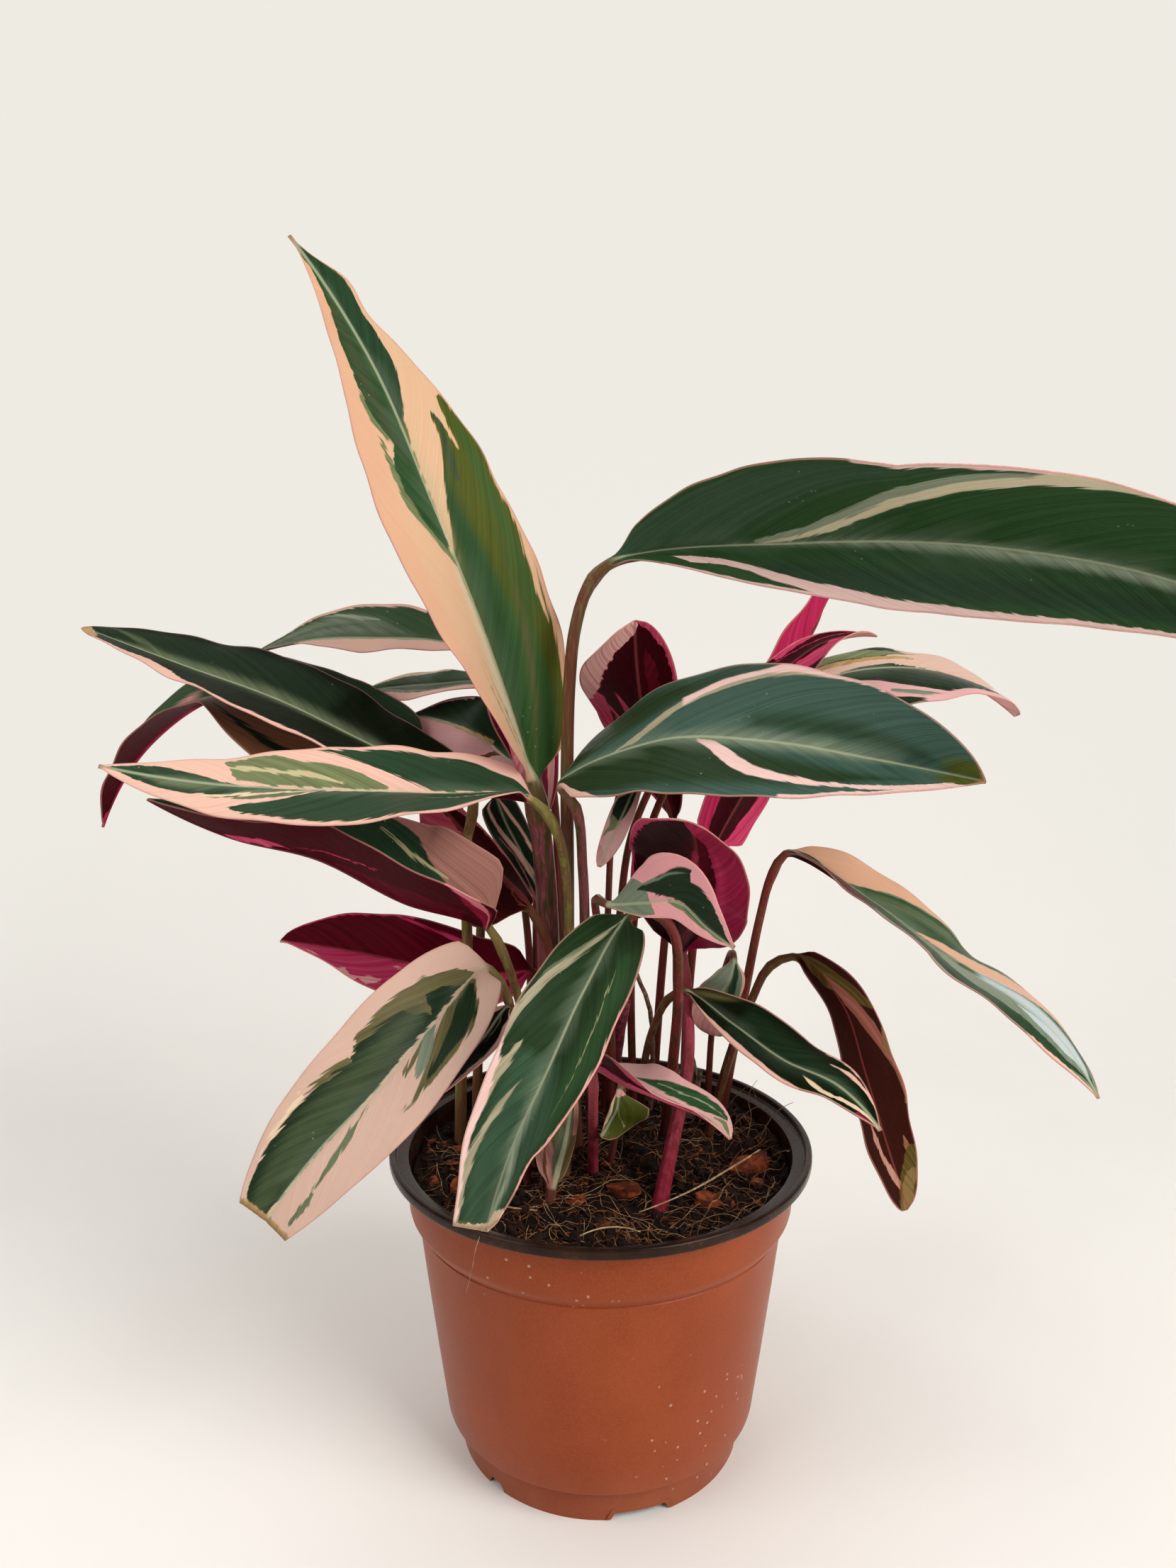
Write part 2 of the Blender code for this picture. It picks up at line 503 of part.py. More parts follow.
def revolve(name, profile, segments, material=None):
    """Turns a closed line of (radius, height) points about the Z axis."""
    verts, faces = [], []
    ring_of = []
    for radius, height in profile:
        if radius == 0:
            ring_of.append([len(verts)] * segments)
            verts.append((0, 0, height))
            continue
        ring_of.append([len(verts) + k for k in range(segments)])
        for k in range(segments):
            angle = 2 * math.pi * k / segments
            verts.append((radius * math.cos(angle), radius * math.sin(angle), height))
    for low, high in zip(ring_of, ring_of[1:] + ring_of[:1]):
        for k in range(segments):
            m = (k + 1) % segments
            corners = list(dict.fromkeys([low[k], low[m], high[m], high[k]]))
            if len(corners) > 2:
                faces.append(corners)
    return add_piece(name, verts, faces, material)


def wedge(name, angle, start, end, width, height, slope, bottom):
    """A bar along a radius, with its sides sloping in toward its top."""
    turn = math.radians(angle)
    out = np.array([math.cos(turn), math.sin(turn), 0.0])
    across = np.array([-math.sin(turn), math.cos(turn), 0.0])
    lift = np.array([0.0, 0.0, 1.0])
    verts = []
    for distance in (start, end):
        for offset, level in ((-0.5, bottom), (0.5, bottom), (0.5, height), (-0.5, height)):
            reach = width - (2 * slope if level == height else 0)
            verts.append(out * distance + across * offset * reach + lift * level)
    faces = [(0, 1, 2, 3), (4, 7, 6, 5), (0, 4, 5, 1), (1, 5, 6, 2), (2, 6, 7, 3), (3, 7, 4, 0)]
    return add_piece(name, verts, faces, smooth=False)


def inner_wall(height):
    """The radius of the pot's inside at a height."""
    heights = (FLOOR, FOOT_HEIGHT, 17, 95, COLLAR_BOTTOM - 2, 104, 122)
    radii = (FOOT_RADIUS, FOOT_RADIUS + 0.9, BODY_BOTTOM_RADIUS, 73.5, BODY_TOP_RADIUS, 77.4, COLLAR_RADIUS)
    return float(np.interp(height, heights, np.array(radii) - WALL))


def make_pot(material):
    rim_bottom = POT_HEIGHT - RIM_HEIGHT
    outside = [
        (FOOT_RADIUS, 0), (FOOT_RADIUS + 0.7, FOOT_HEIGHT - 0.6), (FOOT_RADIUS + 1.4, FOOT_HEIGHT),
        (BODY_BOTTOM_RADIUS - 1.2, FOOT_HEIGHT + 0.8), (BODY_BOTTOM_RADIUS, FOOT_HEIGHT + 2.4),
        (70.6, 71), (73.5, 95), (BODY_TOP_RADIUS, COLLAR_BOTTOM - 2), (76.2, COLLAR_BOTTOM + 1),
        (77.4, COLLAR_BOTTOM + 4), (COLLAR_RADIUS, rim_bottom - 0.6), (COLLAR_RADIUS + 1, rim_bottom),
        (RIM_RADIUS - 0.7, rim_bottom), (RIM_RADIUS, rim_bottom + 0.8), (RIM_RADIUS, POT_HEIGHT - 0.9),
        (RIM_RADIUS - 0.8, POT_HEIGHT),
    ]
    inside = [
        (RIM_INNER_RADIUS + 0.5, POT_HEIGHT), (RIM_INNER_RADIUS, POT_HEIGHT - 0.6),
        (RIM_INNER_RADIUS - 0.4, rim_bottom + 1.6), (COLLAR_RADIUS + 0.4, rim_bottom + 1.3),
        (inner_wall(120), 120), (inner_wall(104), 104), (inner_wall(98), 98), (inner_wall(95), 95),
        (inner_wall(71), 71), (inner_wall(17), 17.6), (inner_wall(14), FOOT_HEIGHT + 0.4),
        (inner_wall(FLOOR), FLOOR), (0, FLOOR), (0, 0),
    ]
    pot = revolve("pot", outside + inside, POT_SEGMENTS, material)
    channels = [(angle, WIDE_CHANNEL) for angle in WIDE_CHANNEL_ANGLES]
    channels += [(angle, NARROW_CHANNEL) for angle in NARROW_CHANNEL_ANGLES]
    for angle, width in channels:
        ridge = wedge(
            "ridge", angle, CHANNEL_INNER_END - WALL, FOOT_RADIUS - WALL / 2,
            width + 2 * WALL, CHANNEL_HEIGHT + FLOOR, CHANNEL_SLOPE, FLOOR / 2,
        )
        combine(pot, ridge, "UNION")
    for angle, width in channels:
        channel = wedge(
            "channel", angle, CHANNEL_INNER_END, FOOT_RADIUS + 4,
            width, CHANNEL_HEIGHT, CHANNEL_SLOPE, -0.5,
        )
        combine(pot, channel, "DIFFERENCE")
    for angle, _ in channels:
        turn = math.radians(angle)
        x, y = DRAIN_HOLE_DISTANCE * math.cos(turn), DRAIN_HOLE_DISTANCE * math.sin(turn)
        bore = tube_rings([(x, y, -1), (x, y, 8)], DRAIN_HOLE_RADIUS, DRAIN_HOLE_RADIUS, 16, 2)[1]
        combine(pot, add_piece("bore", *loft(bore)), "DIFFERENCE")
    return pot


def soil_height(x, y):
    """The soil is a little higher behind the stems and dips toward the front."""
    swell = 1.1 * math.sin(x / 17 + 0.6) * math.cos(y / 21 - 0.3)
    return SOIL_TOP + swell + 0.9 * math.sin((x + y) / 11) + 0.012 * y


def make_soil(material, leaf_lofts, stalk_lofts, chips):
    verts, rings = [(0, 0, soil_height(0, 0))], []
    edge = inner_wall(SOIL_TOP) - CLEARANCE - FACET_SAG
    for radius in (15, 30, 45, 58, 69, edge):
        rings.append([len(verts) + k for k in range(SOIL_SEGMENTS)])
        for k in range(SOIL_SEGMENTS):
            angle = 2 * math.pi * k / SOIL_SEGMENTS
            x, y = radius * math.cos(angle), radius * math.sin(angle)
            verts.append((x, y, soil_height(x, y) if radius < edge else SOIL_TOP - 0.6))
    for height in (104, 98, 95, 71, 18.5, FOOT_HEIGHT - 0.4, SOIL_BOTTOM):
        rings.append([len(verts) + k for k in range(SOIL_SEGMENTS)])
        for k in range(SOIL_SEGMENTS):
            angle = 2 * math.pi * k / SOIL_SEGMENTS
            reach = inner_wall(height if height > FOOT_HEIGHT else FLOOR) - CLEARANCE - FACET_SAG
            verts.append((reach * math.cos(angle), reach * math.sin(angle), height))
    faces = [(0, rings[0][k], rings[0][(k + 1) % SOIL_SEGMENTS]) for k in range(SOIL_SEGMENTS)]
    for inner, outer in zip(rings, rings[1:]):
        for k in range(SOIL_SEGMENTS):
            m = (k + 1) % SOIL_SEGMENTS
            faces.append((inner[k], outer[k], outer[m], inner[m]))
    faces.append(rings[-1])
    soil = add_piece("soil", verts, faces, material)
    for centres, rings_of_stem in leaf_lofts + stalk_lofts:
        combine(soil, hole_for(centres, rings_of_stem), "DIFFERENCE")
    for chip in chips:
        combine(soil, chip_solid("pocket", chip, margin=3 * CLEARANCE), "DIFFERENCE")
    return soil


def chip_solid(name, chip, material=None, margin=0.0):
    """A flat, uneven flake of bark, or with a margin the pocket that it lies in."""
    (x, y, z), sizes, turn, tilt = chip
    length, width, thickness = (size + margin for size in sizes)
    count = len(CHIP_RADII)
    turn, tilt = math.radians(turn), math.radians(tilt)
    verts = []
    for level, inset in ((-1.0, 0.72), (0.0, 1.0), (1.0, 0.78)):
        for k, reach in enumerate(CHIP_RADII):
            angle = 2 * math.pi * k / count
            px = length * reach * inset * math.cos(angle)
            py = width * reach * inset * math.sin(angle)
            pz = thickness * (level + 0.15 * math.cos(2 * angle))
            px, pz = px * math.cos(tilt) - pz * math.sin(tilt), px * math.sin(tilt) + pz * math.cos(tilt)
            px, py = px * math.cos(turn) - py * math.sin(turn), px * math.sin(turn) + py * math.cos(turn)
            verts.append((x + px, y + py, z + pz))
    rows = [range(level * count, (level + 1) * count) for level in range(3)]
    faces = [tuple(rows[0]), tuple(rows[2])]
    for low, high in zip(rows, rows[1:]):
        for k in range(count):
            m = (k + 1) % count
            faces.append((low[k], low[m], high[m], high[k]))
    return add_piece(name, verts, faces, material, smooth=False)


def make_stub(material):
    centres, rings = tube_rings(STUB_BASE, STUB_BASE_RADIUS, STUB_BASE_RADIUS * 0.8, rings=2)
    stub = add_piece("dry_stub", *loft(rings), material)
    for points, foot_radius, top_radius in STUB_STEMS:
        stem = tube_rings(points, foot_radius, top_radius, 8, 4)[1]
        combine(stub, add_piece("stem", *loft(stem)), "UNION")
    return centres, rings


def main():
    clear_scene()
    make_pot(finish("terracotta plastic", (0.42, 0.12, 0.06), 0.45))
    leaf_lofts = []
    for name, spec in LEAVES.items():
        centres, rings = leaf_rings(spec)
        green = finish(f"{name} skin", (0.06, 0.16, 0.07), 0.5)
        add_piece(name, *loft(rings, LEAF_FLIPS), green)
        leaf_lofts.append((centres, rings))
    stalk_lofts = []
    for name, (points, foot_radius, top_radius) in STALKS.items():
        centres, rings = tube_rings(points, foot_radius, top_radius, rings=6)
        add_piece(name, *loft(rings), finish(f"{name} skin", (0.4, 0.08, 0.12), 0.5))
        stalk_lofts.append((centres, rings))
    stalk_lofts.append(make_stub(finish("dry stem", (0.3, 0.2, 0.12), 0.9)))
    for name, chip in BARK_CHIPS.items():
        chip_solid(name, chip, material=finish(f"{name} bark", (0.25, 0.12, 0.05), 0.9))
    make_soil(finish("potting soil", (0.05, 0.03, 0.02), 0.95), leaf_lofts, stalk_lofts, BARK_CHIPS.values())


main()
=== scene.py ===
"""The looks of the potted stromanthe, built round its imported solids.

Sizes are in millimetres and are turned into metres when a mesh is made. The origin is the middle
of the pot's underside, +X is the photograph's right and +Z is up. A leaf's markings follow its own
directions: along runs from 0 at the neck to 1 at the tip, across from 1 at the left edge to -1 at
the right edge, and a vein leaves the midrib at an angle and curves toward the tip.
"""

import math

import bmesh
import bpy
import numpy as np
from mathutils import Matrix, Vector, noise

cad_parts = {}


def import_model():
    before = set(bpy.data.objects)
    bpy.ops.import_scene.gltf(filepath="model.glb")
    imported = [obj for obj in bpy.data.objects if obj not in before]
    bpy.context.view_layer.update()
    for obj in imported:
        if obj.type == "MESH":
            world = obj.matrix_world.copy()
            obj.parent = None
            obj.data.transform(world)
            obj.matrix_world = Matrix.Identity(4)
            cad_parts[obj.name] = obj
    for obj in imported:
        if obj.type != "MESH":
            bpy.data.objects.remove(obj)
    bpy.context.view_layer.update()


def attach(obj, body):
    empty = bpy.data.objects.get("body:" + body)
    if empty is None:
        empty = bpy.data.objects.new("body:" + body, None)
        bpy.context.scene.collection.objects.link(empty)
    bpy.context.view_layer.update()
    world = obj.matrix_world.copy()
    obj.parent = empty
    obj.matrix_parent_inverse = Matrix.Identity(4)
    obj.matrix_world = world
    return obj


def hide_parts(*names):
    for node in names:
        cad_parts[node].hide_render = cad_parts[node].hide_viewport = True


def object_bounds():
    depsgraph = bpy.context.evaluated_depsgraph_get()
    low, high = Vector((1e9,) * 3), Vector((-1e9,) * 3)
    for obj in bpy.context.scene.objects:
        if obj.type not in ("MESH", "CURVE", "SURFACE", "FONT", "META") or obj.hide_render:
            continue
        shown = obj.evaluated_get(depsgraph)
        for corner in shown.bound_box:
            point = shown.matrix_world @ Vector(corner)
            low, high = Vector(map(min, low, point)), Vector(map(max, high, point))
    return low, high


MM = 0.001

# The camera of the photograph.
CAMERA_PLACE = (-5.0, -451.5, 344.6)
CAMERA_PITCH = 9.17
CAMERA_LENS = 27.05

# The pot, as in the solids.
POT_HEIGHT = 126.3
RIM_RADIUS = 85.0
RIM_INNER_RADIUS = 82.5
RIM_HEIGHT = 4.0
COLLAR_RADIUS = 78.0
COLLAR_BOTTOM = 100.0
BODY_TOP_RADIUS = 74.0
BODY_BOTTOM_RADIUS = 63.6
FOOT_RADIUS = 57.5
FOOT_HEIGHT = 14.0
WALL = 1.3
FLOOR = 1.5
POT_SEGMENTS = 144
CHANNEL_HEIGHT = 3.0
CHANNEL_SLOPE = 2.0
WIDE_CHANNEL = 24.0
NARROW_CHANNEL = 9.0
WIDE_CHANNEL_ANGLES = (-75, 45, 165)
NARROW_CHANNEL_ANGLES = (-15, 105, 225)
CHANNEL_INNER_END = 20.0
DRAIN_HOLE_RADIUS = 3.5
DRAIN_HOLE_DISTANCE = 32.0

# The soil.
SOIL_TOP = 115.0
SOIL_BOTTOM = FLOOR + CHANNEL_HEIGHT + 0.3
SOIL_EDGE = 75.9
# How high it is heaped against the wall, from where, and the share of that at each azimuth.
HEAP = 3.2
HEAP_START = 52
HEAP_WIDTH = 22
HEAP_AZIMUTHS = (-60, -25, 10, 60, 120, 160)
HEAP_SHARES = (0, 0.5, 1, 0.9, 0.35, 0)
CRUMBS = 3000
SPLINTERS = 90
FIBRES = 460
ROOTLETS = 150

# The leaves' stations, thickness and veins.
BLADE_STEP = 1.7
STEM_STEP = 5.0
MIDDLE_THICKNESS = 0.8
EDGE_THICKNESS = 0.45
NARROWEST_HALF = 0.8
SPREAD_SHARE = 0.06
SHORTEST_SPREAD = 6.0
VEIN_SLANT = 1.75
VEIN_BEND = 0.33
VEIN_SPACING = 5.5
RIPPLE = 0.14
# Waves along the margin, as height and length, and the half width from which they are whole.
LONG_WAVE = (0.5, 6.3)
SHORT_WAVE = (0.4, 3.9)
WAVY_HALF = 12
# The groove over the midrib and the rib under it.
GROOVE = 0.35
GROOVE_WIDTH = 0.9
RIB_SHARE = 0.7
RIB_TAPER = 1.3
RIB_TIP = 0.25
RIB_WIDTH = 0.7
# The swollen joint under the neck, and the stem's shallow ribs.
JOINT_SWELL = 0.22
JOINT_BELOW = 9
JOINT_LENGTH = 6
STEM_RIBS = 7
STEM_RIB_HEIGHT = 0.025
# Below the first curl, in degrees, a blade is as good as flat and gets the second, in radians.
LEAST_CURL = 0.1
FLAT_CURL = 0.001

# Colours, as linear red, green and blue.
TONES = {
    "dark": (0.020, 0.048, 0.022),
    "deep": (0.011, 0.025, 0.011),
    "green": (0.036, 0.090, 0.026),
    "olive": (0.068, 0.082, 0.011),
    "mid": (0.150, 0.178, 0.078),
    "grey": (0.165, 0.205, 0.140),
    "sage": (0.120, 0.148, 0.078),
    "forest": (0.024, 0.064, 0.021),
    "ivory": (0.600, 0.570, 0.380),
    "dusty": (0.410, 0.185, 0.150),
    "silver": (0.310, 0.370, 0.260),
    "cream": (0.720, 0.590, 0.390),
    "peach": (0.640, 0.415, 0.245),
    "salmon": (0.650, 0.375, 0.230),
    "pink": (0.760, 0.480, 0.380),
    "blush": (0.580, 0.405, 0.325),
    "mauve": (0.640, 0.360, 0.360),
    "rose": (0.560, 0.260, 0.240),
    # Painted reflection: a pale blue tone that stands in for a window's shine, muted toward a silvery
    # marking.
    "painted_sheen_blue": (0.420, 0.560, 0.580),
    "lemon": (0.470, 0.450, 0.240),
    "khaki": (0.115, 0.100, 0.040),
    "beige": (0.340, 0.300, 0.200),
    "shell": (0.840, 0.580, 0.540),
    "soot": (0.005, 0.009, 0.003),
    "umber": (0.250, 0.108, 0.054),
    "lilac": (0.740, 0.320, 0.350),
    "teal": (0.042, 0.090, 0.066),
    "jade": (0.034, 0.074, 0.038),
    "pine": (0.015, 0.036, 0.012),
    "moss": (0.046, 0.066, 0.030),
    "mist": (0.235, 0.280, 0.190),
    "tan": (0.400, 0.250, 0.110),
    "brown": (0.120, 0.052, 0.026),
    "wine": (0.045, 0.006, 0.012),
    "crimson": (0.190, 0.010, 0.035),
}


def leaf(stem, midrib, radius, half, belly, full, face, twist, fold, curl, cut=1.0, bumps=()):
    """One leaf's own form, with the same values as its solid.

    stem and midrib are points from the foot up and from the neck to the tip; radius is the stem's
    at its foot and neck; half is the blade's widest half on its left and right; belly says how far
    along it is widest and full how quickly it widens; face is the azimuth and elevation that the
    upper side looks to; twist turns its base and tip; fold raises both halves at base and tip;
    curl bends them down again; cut is less than 1 where a dry tip was trimmed off; bumps are
    (side, place, height, spread) swellings of one edge.
    """
    length = np.linalg.norm(np.diff(np.array(midrib, float), axis=0), axis=1).sum()
    return {
        "points": np.array(stem + midrib, float), "neck": len(stem), "radius": radius,
        "spread": max(SPREAD_SHARE, SHORTEST_SPREAD / length),
        "half": half, "belly": belly, "full": full, "face": face, "twist": twist,
        "fold": fold, "curl": curl, "cut": cut, "bumps": bumps,
    }


LEAVES = {
    "upright_leaf": leaf(
        stem=[(-23, 21, 97), (-22, 18, 115), (-21, 10, 184), (-22, 4, 236)],
        midrib=[(-26, -2, 270), (-43, -2, 326), (-63, -3, 378), (-85, 3, 429), (-115, 9, 475)],
        radius=(5, 4), half=(29, 30), belly=0.34, full=2,
        face=(303, 22), twist=(-11, 12), fold=(46, -13), curl=10,
        bumps=[("right", 0.9, 5, 0.05), ("right", 0.62, 3, 0.12)]),
    "right_arching_leaf": leaf(
        stem=[(-10, 13, 97), (-10, 11, 115), (-13, 2, 187), (-13, -6, 240), (-13, -9, 280),
            (-12, -9, 312), (-10, -8, 331), (-6, -5, 345)],
        midrib=[(2, 7, 355), (69, -33, 362), (123, -74, 359), (168, -106, 347), (201, -137, 324)],
        radius=(3, 2.2), half=(39.5, 24.5), belly=0.51, full=1.6,
        face=(204, -13), twist=(44, 14), fold=(41, 32), curl=-8),
    "left_upper_leaf": leaf(
        stem=[(-60, 21, 97), (-59, 17, 115), (-57, 9, 154), (-52, -9, 207), (-52, -9, 247)],
        midrib=[(-51, 5, 268), (-89, 9, 285), (-128, 15, 303), (-170, 23, 317), (-210, 30, 331)],
        radius=(2.6, 1.8), half=(24, 24.5), belly=0.51, full=1.3,
        face=(319, 49), twist=(4, -13), fold=(17, 18), curl=8),
    "left_level_leaf": leaf(
        stem=[(-15, -6, 97), (-14, -7, 115), (-13, -8, 190), (-13, -17, 237), (-18, -25, 261)],
        midrib=[(-25, -19, 268), (-64, -29, 273), (-102, -39, 276), (-139, -44, 279), (-174, -49, 286)],
        radius=(2.2, 1.7), half=(21.5, 20.5), belly=0.3, full=1.2,
        face=(286, 51), twist=(-28, 7), fold=(34, -5), curl=11),
    "back_left_leaf": leaf(
        stem=[(-14, 59, 97), (-15, 57, 115), (-17, 42, 205), (-24, 40, 282)],
        midrib=[(-43, 37, 318), (-68, 45, 325), (-95, 52, 326), (-123, 60, 325), (-151, 66, 319)],
        radius=(2, 1.6), half=(14.5, 15.5), belly=0.51, full=2.3,
        face=(256, 44), twist=(-1, -28), fold=(29, 23), curl=0),
    "back_low_leaf": leaf(
        stem=[(-22, 57, 97), (-23, 54, 115), (-24, 43, 206), (-29, 46, 273)],
        midrib=[(-36, 40, 302), (-51, 43, 308), (-68, 46, 307), (-85, 58, 305), (-104, 70, 302)],
        radius=(2, 1.6), half=(11, 10.5), belly=0.5, full=1.5,
        face=(199, 53), twist=(-21, 10), fold=(12, 9), curl=15),
    "back_dark_leaf": leaf(
        stem=[(-30, 47, 97), (-30, 45, 115), (-27, 36, 191), (-28, 34, 244)],
        midrib=[(-32, 28, 272), (-43, 34, 280), (-54, 34, 288), (-67, 41, 292), (-82, 49, 293)],
        radius=(2, 1.6), half=(12.5, 16), belly=0.4, full=1.6,
        face=(273, 18), twist=(-29, -15), fold=(36, -9), curl=9),
    "brown_striped_leaf": leaf(
        stem=[(-55, 36, 97), (-54, 35, 115), (-52, 34, 176), (-53, 34, 238)],
        midrib=[(-72, 30, 276), (-113, 35, 290), (-156, 45, 303), (-189, 47, 284), (-215, 49, 245)],
        radius=(2.2, 1.7), half=(33, 28), belly=0.36, full=1.5,
        face=(204, 61), twist=(50, -3), fold=(-3, 40), curl=9),
    "purple_backed_leaf": leaf(
        stem=[(-27, 1, 97), (-27, -1, 115), (-30, -6, 175), (-37, -18, 208)],
        midrib=[(-42, -20, 219), (-73, -29, 233), (-104, -29, 249), (-136, -29, 257), (-165, -30, 271)],
        radius=(2, 1.6), half=(25, 30), belly=0.25, full=1,
        face=(27, 82), twist=(32, 0), fold=(60, 27), curl=-5),
    "dark_purple_leaf": leaf(
        stem=[(-24, -7, 97), (-23, -7, 115), (-19, -6, 178), (-21, -12, 212)],
        midrib=[(-27, -14, 225), (-38, 1, 233), (-50, 14, 243), (-61, 23, 254), (-73, 32, 265)],
        radius=(2, 1.6), half=(9, 22.5), belly=0.37, full=1.1,
        face=(109, -11), twist=(-22, 11), fold=(38, 3), curl=5),
    "magenta_backed_leaf": leaf(
        stem=[(-9, 51, 97), (-11, 46, 115), (-13, 36, 149), (-21, 31, 178)],
        midrib=[(-28, 18, 190), (-54, 16, 189), (-80, 15, 195), (-106, 19, 199), (-133, 22, 202)],
        radius=(2, 1.6), half=(16.5, 19), belly=0.46, full=1,
        face=(262, 30), twist=(5, -50), fold=(6, 34), curl=6),
    "low_left_leaf": leaf(
        stem=[(-34, 3, 97), (-34, -1, 115), (-35, -12, 168), (-36, -26, 196)],
        midrib=[(-42, -22, 204), (-62, -46, 190), (-80, -62, 172), (-98, -72, 155), (-115, -78, 133)],
        radius=(2, 1.6), half=(22.5, 24.5), belly=0.38, full=1,
        face=(262, 19), twist=(1, -2), fold=(40, 8), curl=2, cut=0.9),
    "narrow_dark_leaf": leaf(
        stem=[(-29, -14, 97), (-29, -17, 115), (-27, -24, 162), (-28, -30, 187)],
        midrib=[(-34, -27, 191), (-43, -36, 183), (-52, -44, 175), (-62, -51, 167), (-71, -59, 162)],
        radius=(1.6, 1.2), half=(8, 8), belly=0.34, full=1.6,
        face=(29, 61), twist=(20, -5), fold=(11, 13), curl=14),
    "front_leaf": leaf(
        stem=[(28, 37, 97), (28, 25, 115), (29, -3, 159), (29, -24, 199), (25, -36, 225), (17, -40, 232)],
        midrib=[(11, -36, 229), (-6, -62, 210), (-18, -81, 189), (-30, -91, 165), (-37, -107, 146)],
        radius=(2.4, 1.8), half=(20.5, 19), belly=0.41, full=1,
        face=(245, 20), twist=(-2, -22), fold=(14, 32), curl=3, cut=0.86),
    "right_middle_leaf": leaf(
        stem=[(-2, 26, 97), (-3, 21, 115), (-6, 0, 187), (-7, -8, 239), (-10, -16, 266)],
        midrib=[(-15, -19, 273), (20, -36, 293), (56, -54, 295), (89, -70, 291), (116, -97, 288)],
        radius=(2.4, 1.8), half=(29, 28), belly=0.45, full=1.2,
        face=(215, 38), twist=(18, -6), fold=(-5, 40), curl=8),
    "crimson_leaf": leaf(
        stem=[(25, 65, 97), (25, 61, 115), (27, 50, 170), (31, 46, 229)],
        midrib=[(31, 34, 250), (24, 25, 272), (18, 15, 294), (14, 2, 315), (12, -15, 335)],
        radius=(2, 1.6), half=(16, 24), belly=0.6, full=1.3,
        face=(58, -8), twist=(4, -49), fold=(24, -5), curl=14),
    "crimson_upright_leaf": leaf(
        stem=[(37, 55, 97), (38, 52, 115), (39, 44, 172), (42, 38, 212)],
        midrib=[(46, 33, 238), (63, 40, 269), (76, 46, 303), (92, 51, 335), (108, 54, 367)],
        radius=(2.2, 1.8), half=(20.5, 20), belly=0.25, full=1,
        face=(131, 28), twist=(9, -19), fold=(0, 31), curl=11),
    "rolled_crimson_leaf": leaf(
        stem=[(15, 47, 97), (15, 42, 115), (14, 20, 211), (21, 2, 259), (31, -7, 281)],
        midrib=[(41, -8, 291), (54, -6, 304), (70, -3, 316), (87, 4, 326), (107, 9, 328)],
        radius=(1.8, 1.4), half=(12, 10.5), belly=0.47, full=1.2,
        face=(59, -58), twist=(-6, 26), fold=(24, -14), curl=19),
    "right_back_leaf": leaf(
        stem=[(7, 59, 97), (7, 54, 115), (8, 26, 209), (14, 12, 254), (28, 5, 282)],
        midrib=[(45, 6, 294), (74, 11, 307), (106, 17, 315), (141, 26, 312), (171, 32, 295)],
        radius=(1.8, 1.4), half=(14, 24.5), belly=0.53, full=1,
        face=(330, 48), twist=(-11, 16), fold=(-10, 36), curl=33),
    "right_long_leaf": leaf(
        stem=[(52, 43, 97), (54, 41, 115), (58, 34, 150), (61, 24, 179), (65, 12, 216), (68, 8, 232)],
        midrib=[(73, 4, 243), (103, -17, 229), (128, -39, 212), (153, -56, 198), (166, -79, 178)],
        radius=(2.2, 1.6), half=(20, 20), belly=0.49, full=1.8,
        face=(105, 74), twist=(-26, -15), fold=(39, -12), curl=12),
    "right_drooping_leaf": leaf(
        stem=[(44, 29, 97), (47, 25, 115), (55, 16, 157), (62, 10, 181), (69, 10, 195)],
        midrib=[(78, 10, 199), (97, 6, 180), (106, -1, 154), (115, -4, 126), (125, -5, 97)],
        radius=(2.2, 1.6), half=(15.5, 16.5), belly=0.52, full=1,
        face=(130, -7), twist=(9, -2), fold=(-2, -1), curl=26),
    "right_front_leaf": leaf(
        stem=[(18, 43, 97), (18, 32, 115), (18, 8, 153), (21, -4, 174), (27, -13, 190)],
        midrib=[(32, -18, 194), (49, -35, 187), (65, -52, 180), (82, -65, 176), (93, -80, 167)],
        radius=(1.8, 1.4), half=(13.5, 12.5), belly=0.48, full=1.9,
        face=(310, 19), twist=(-18, -11), fold=(39, -4), curl=9),
    "small_pink_leaf": leaf(
        stem=[(4, 33, 97), (4, 25, 115), (4, -2, 173), (-1, -15, 218), (-2, -31, 234)],
        midrib=[(2, -43, 235), (14, -56, 239), (26, -67, 242), (34, -75, 236), (43, -79, 230)],
        radius=(2, 1.4), half=(16.5, 6), belly=0.51, full=2,
        face=(281, 14), twist=(36, -11), fold=(10, 19), curl=9),
    "round_crimson_leaf": leaf(
        stem=[(16, -49, 97), (23, -30, 115), (28, -15, 129), (36, 8, 155), (36, 15, 179)],
        midrib=[(34, 22, 197), (36, 0, 217), (36, -22, 236), (34, -43, 253), (29, -68, 270)],
        radius=(3.2, 2.2), half=(22, 29.5), belly=0.52, full=1,
        face=(68, -8), twist=(-17, -12), fold=(7, 6), curl=16),
    "pale_hanging_leaf": leaf(
        stem=[(1, 56, 97), (2, 49, 115), (3, 14, 213), (6, 2, 262), (11, -8, 278)],
        midrib=[(15, -12, 277), (11, -16, 269), (7, -20, 261), (3, -22, 253), (-1, -26, 245)],
        radius=(1.6, 1.2), half=(5.5, 5.5), belly=0.46, full=1,
        face=(243, 62), twist=(1, 7), fold=(34, -6), curl=11),
    "small_grey_leaf": leaf(
        stem=[(47, 47, 97), (48, 44, 115), (49, 34, 163), (52, 16, 194), (53, 6, 202)],
        midrib=[(53, -1, 202), (52, -1, 194), (49, 5, 185), (47, 9, 175), (51, 18, 162)],
        radius=(1.5, 1.2), half=(7.5, 10), belly=0.5, full=1,
        face=(278, 42), twist=(9, 4), fold=(19, 9), curl=10),
    "low_folded_leaf": leaf(
        stem=[(-3, 0, 97), (-3, -9, 115), (-3, -24, 142), (-3, -46, 168)],
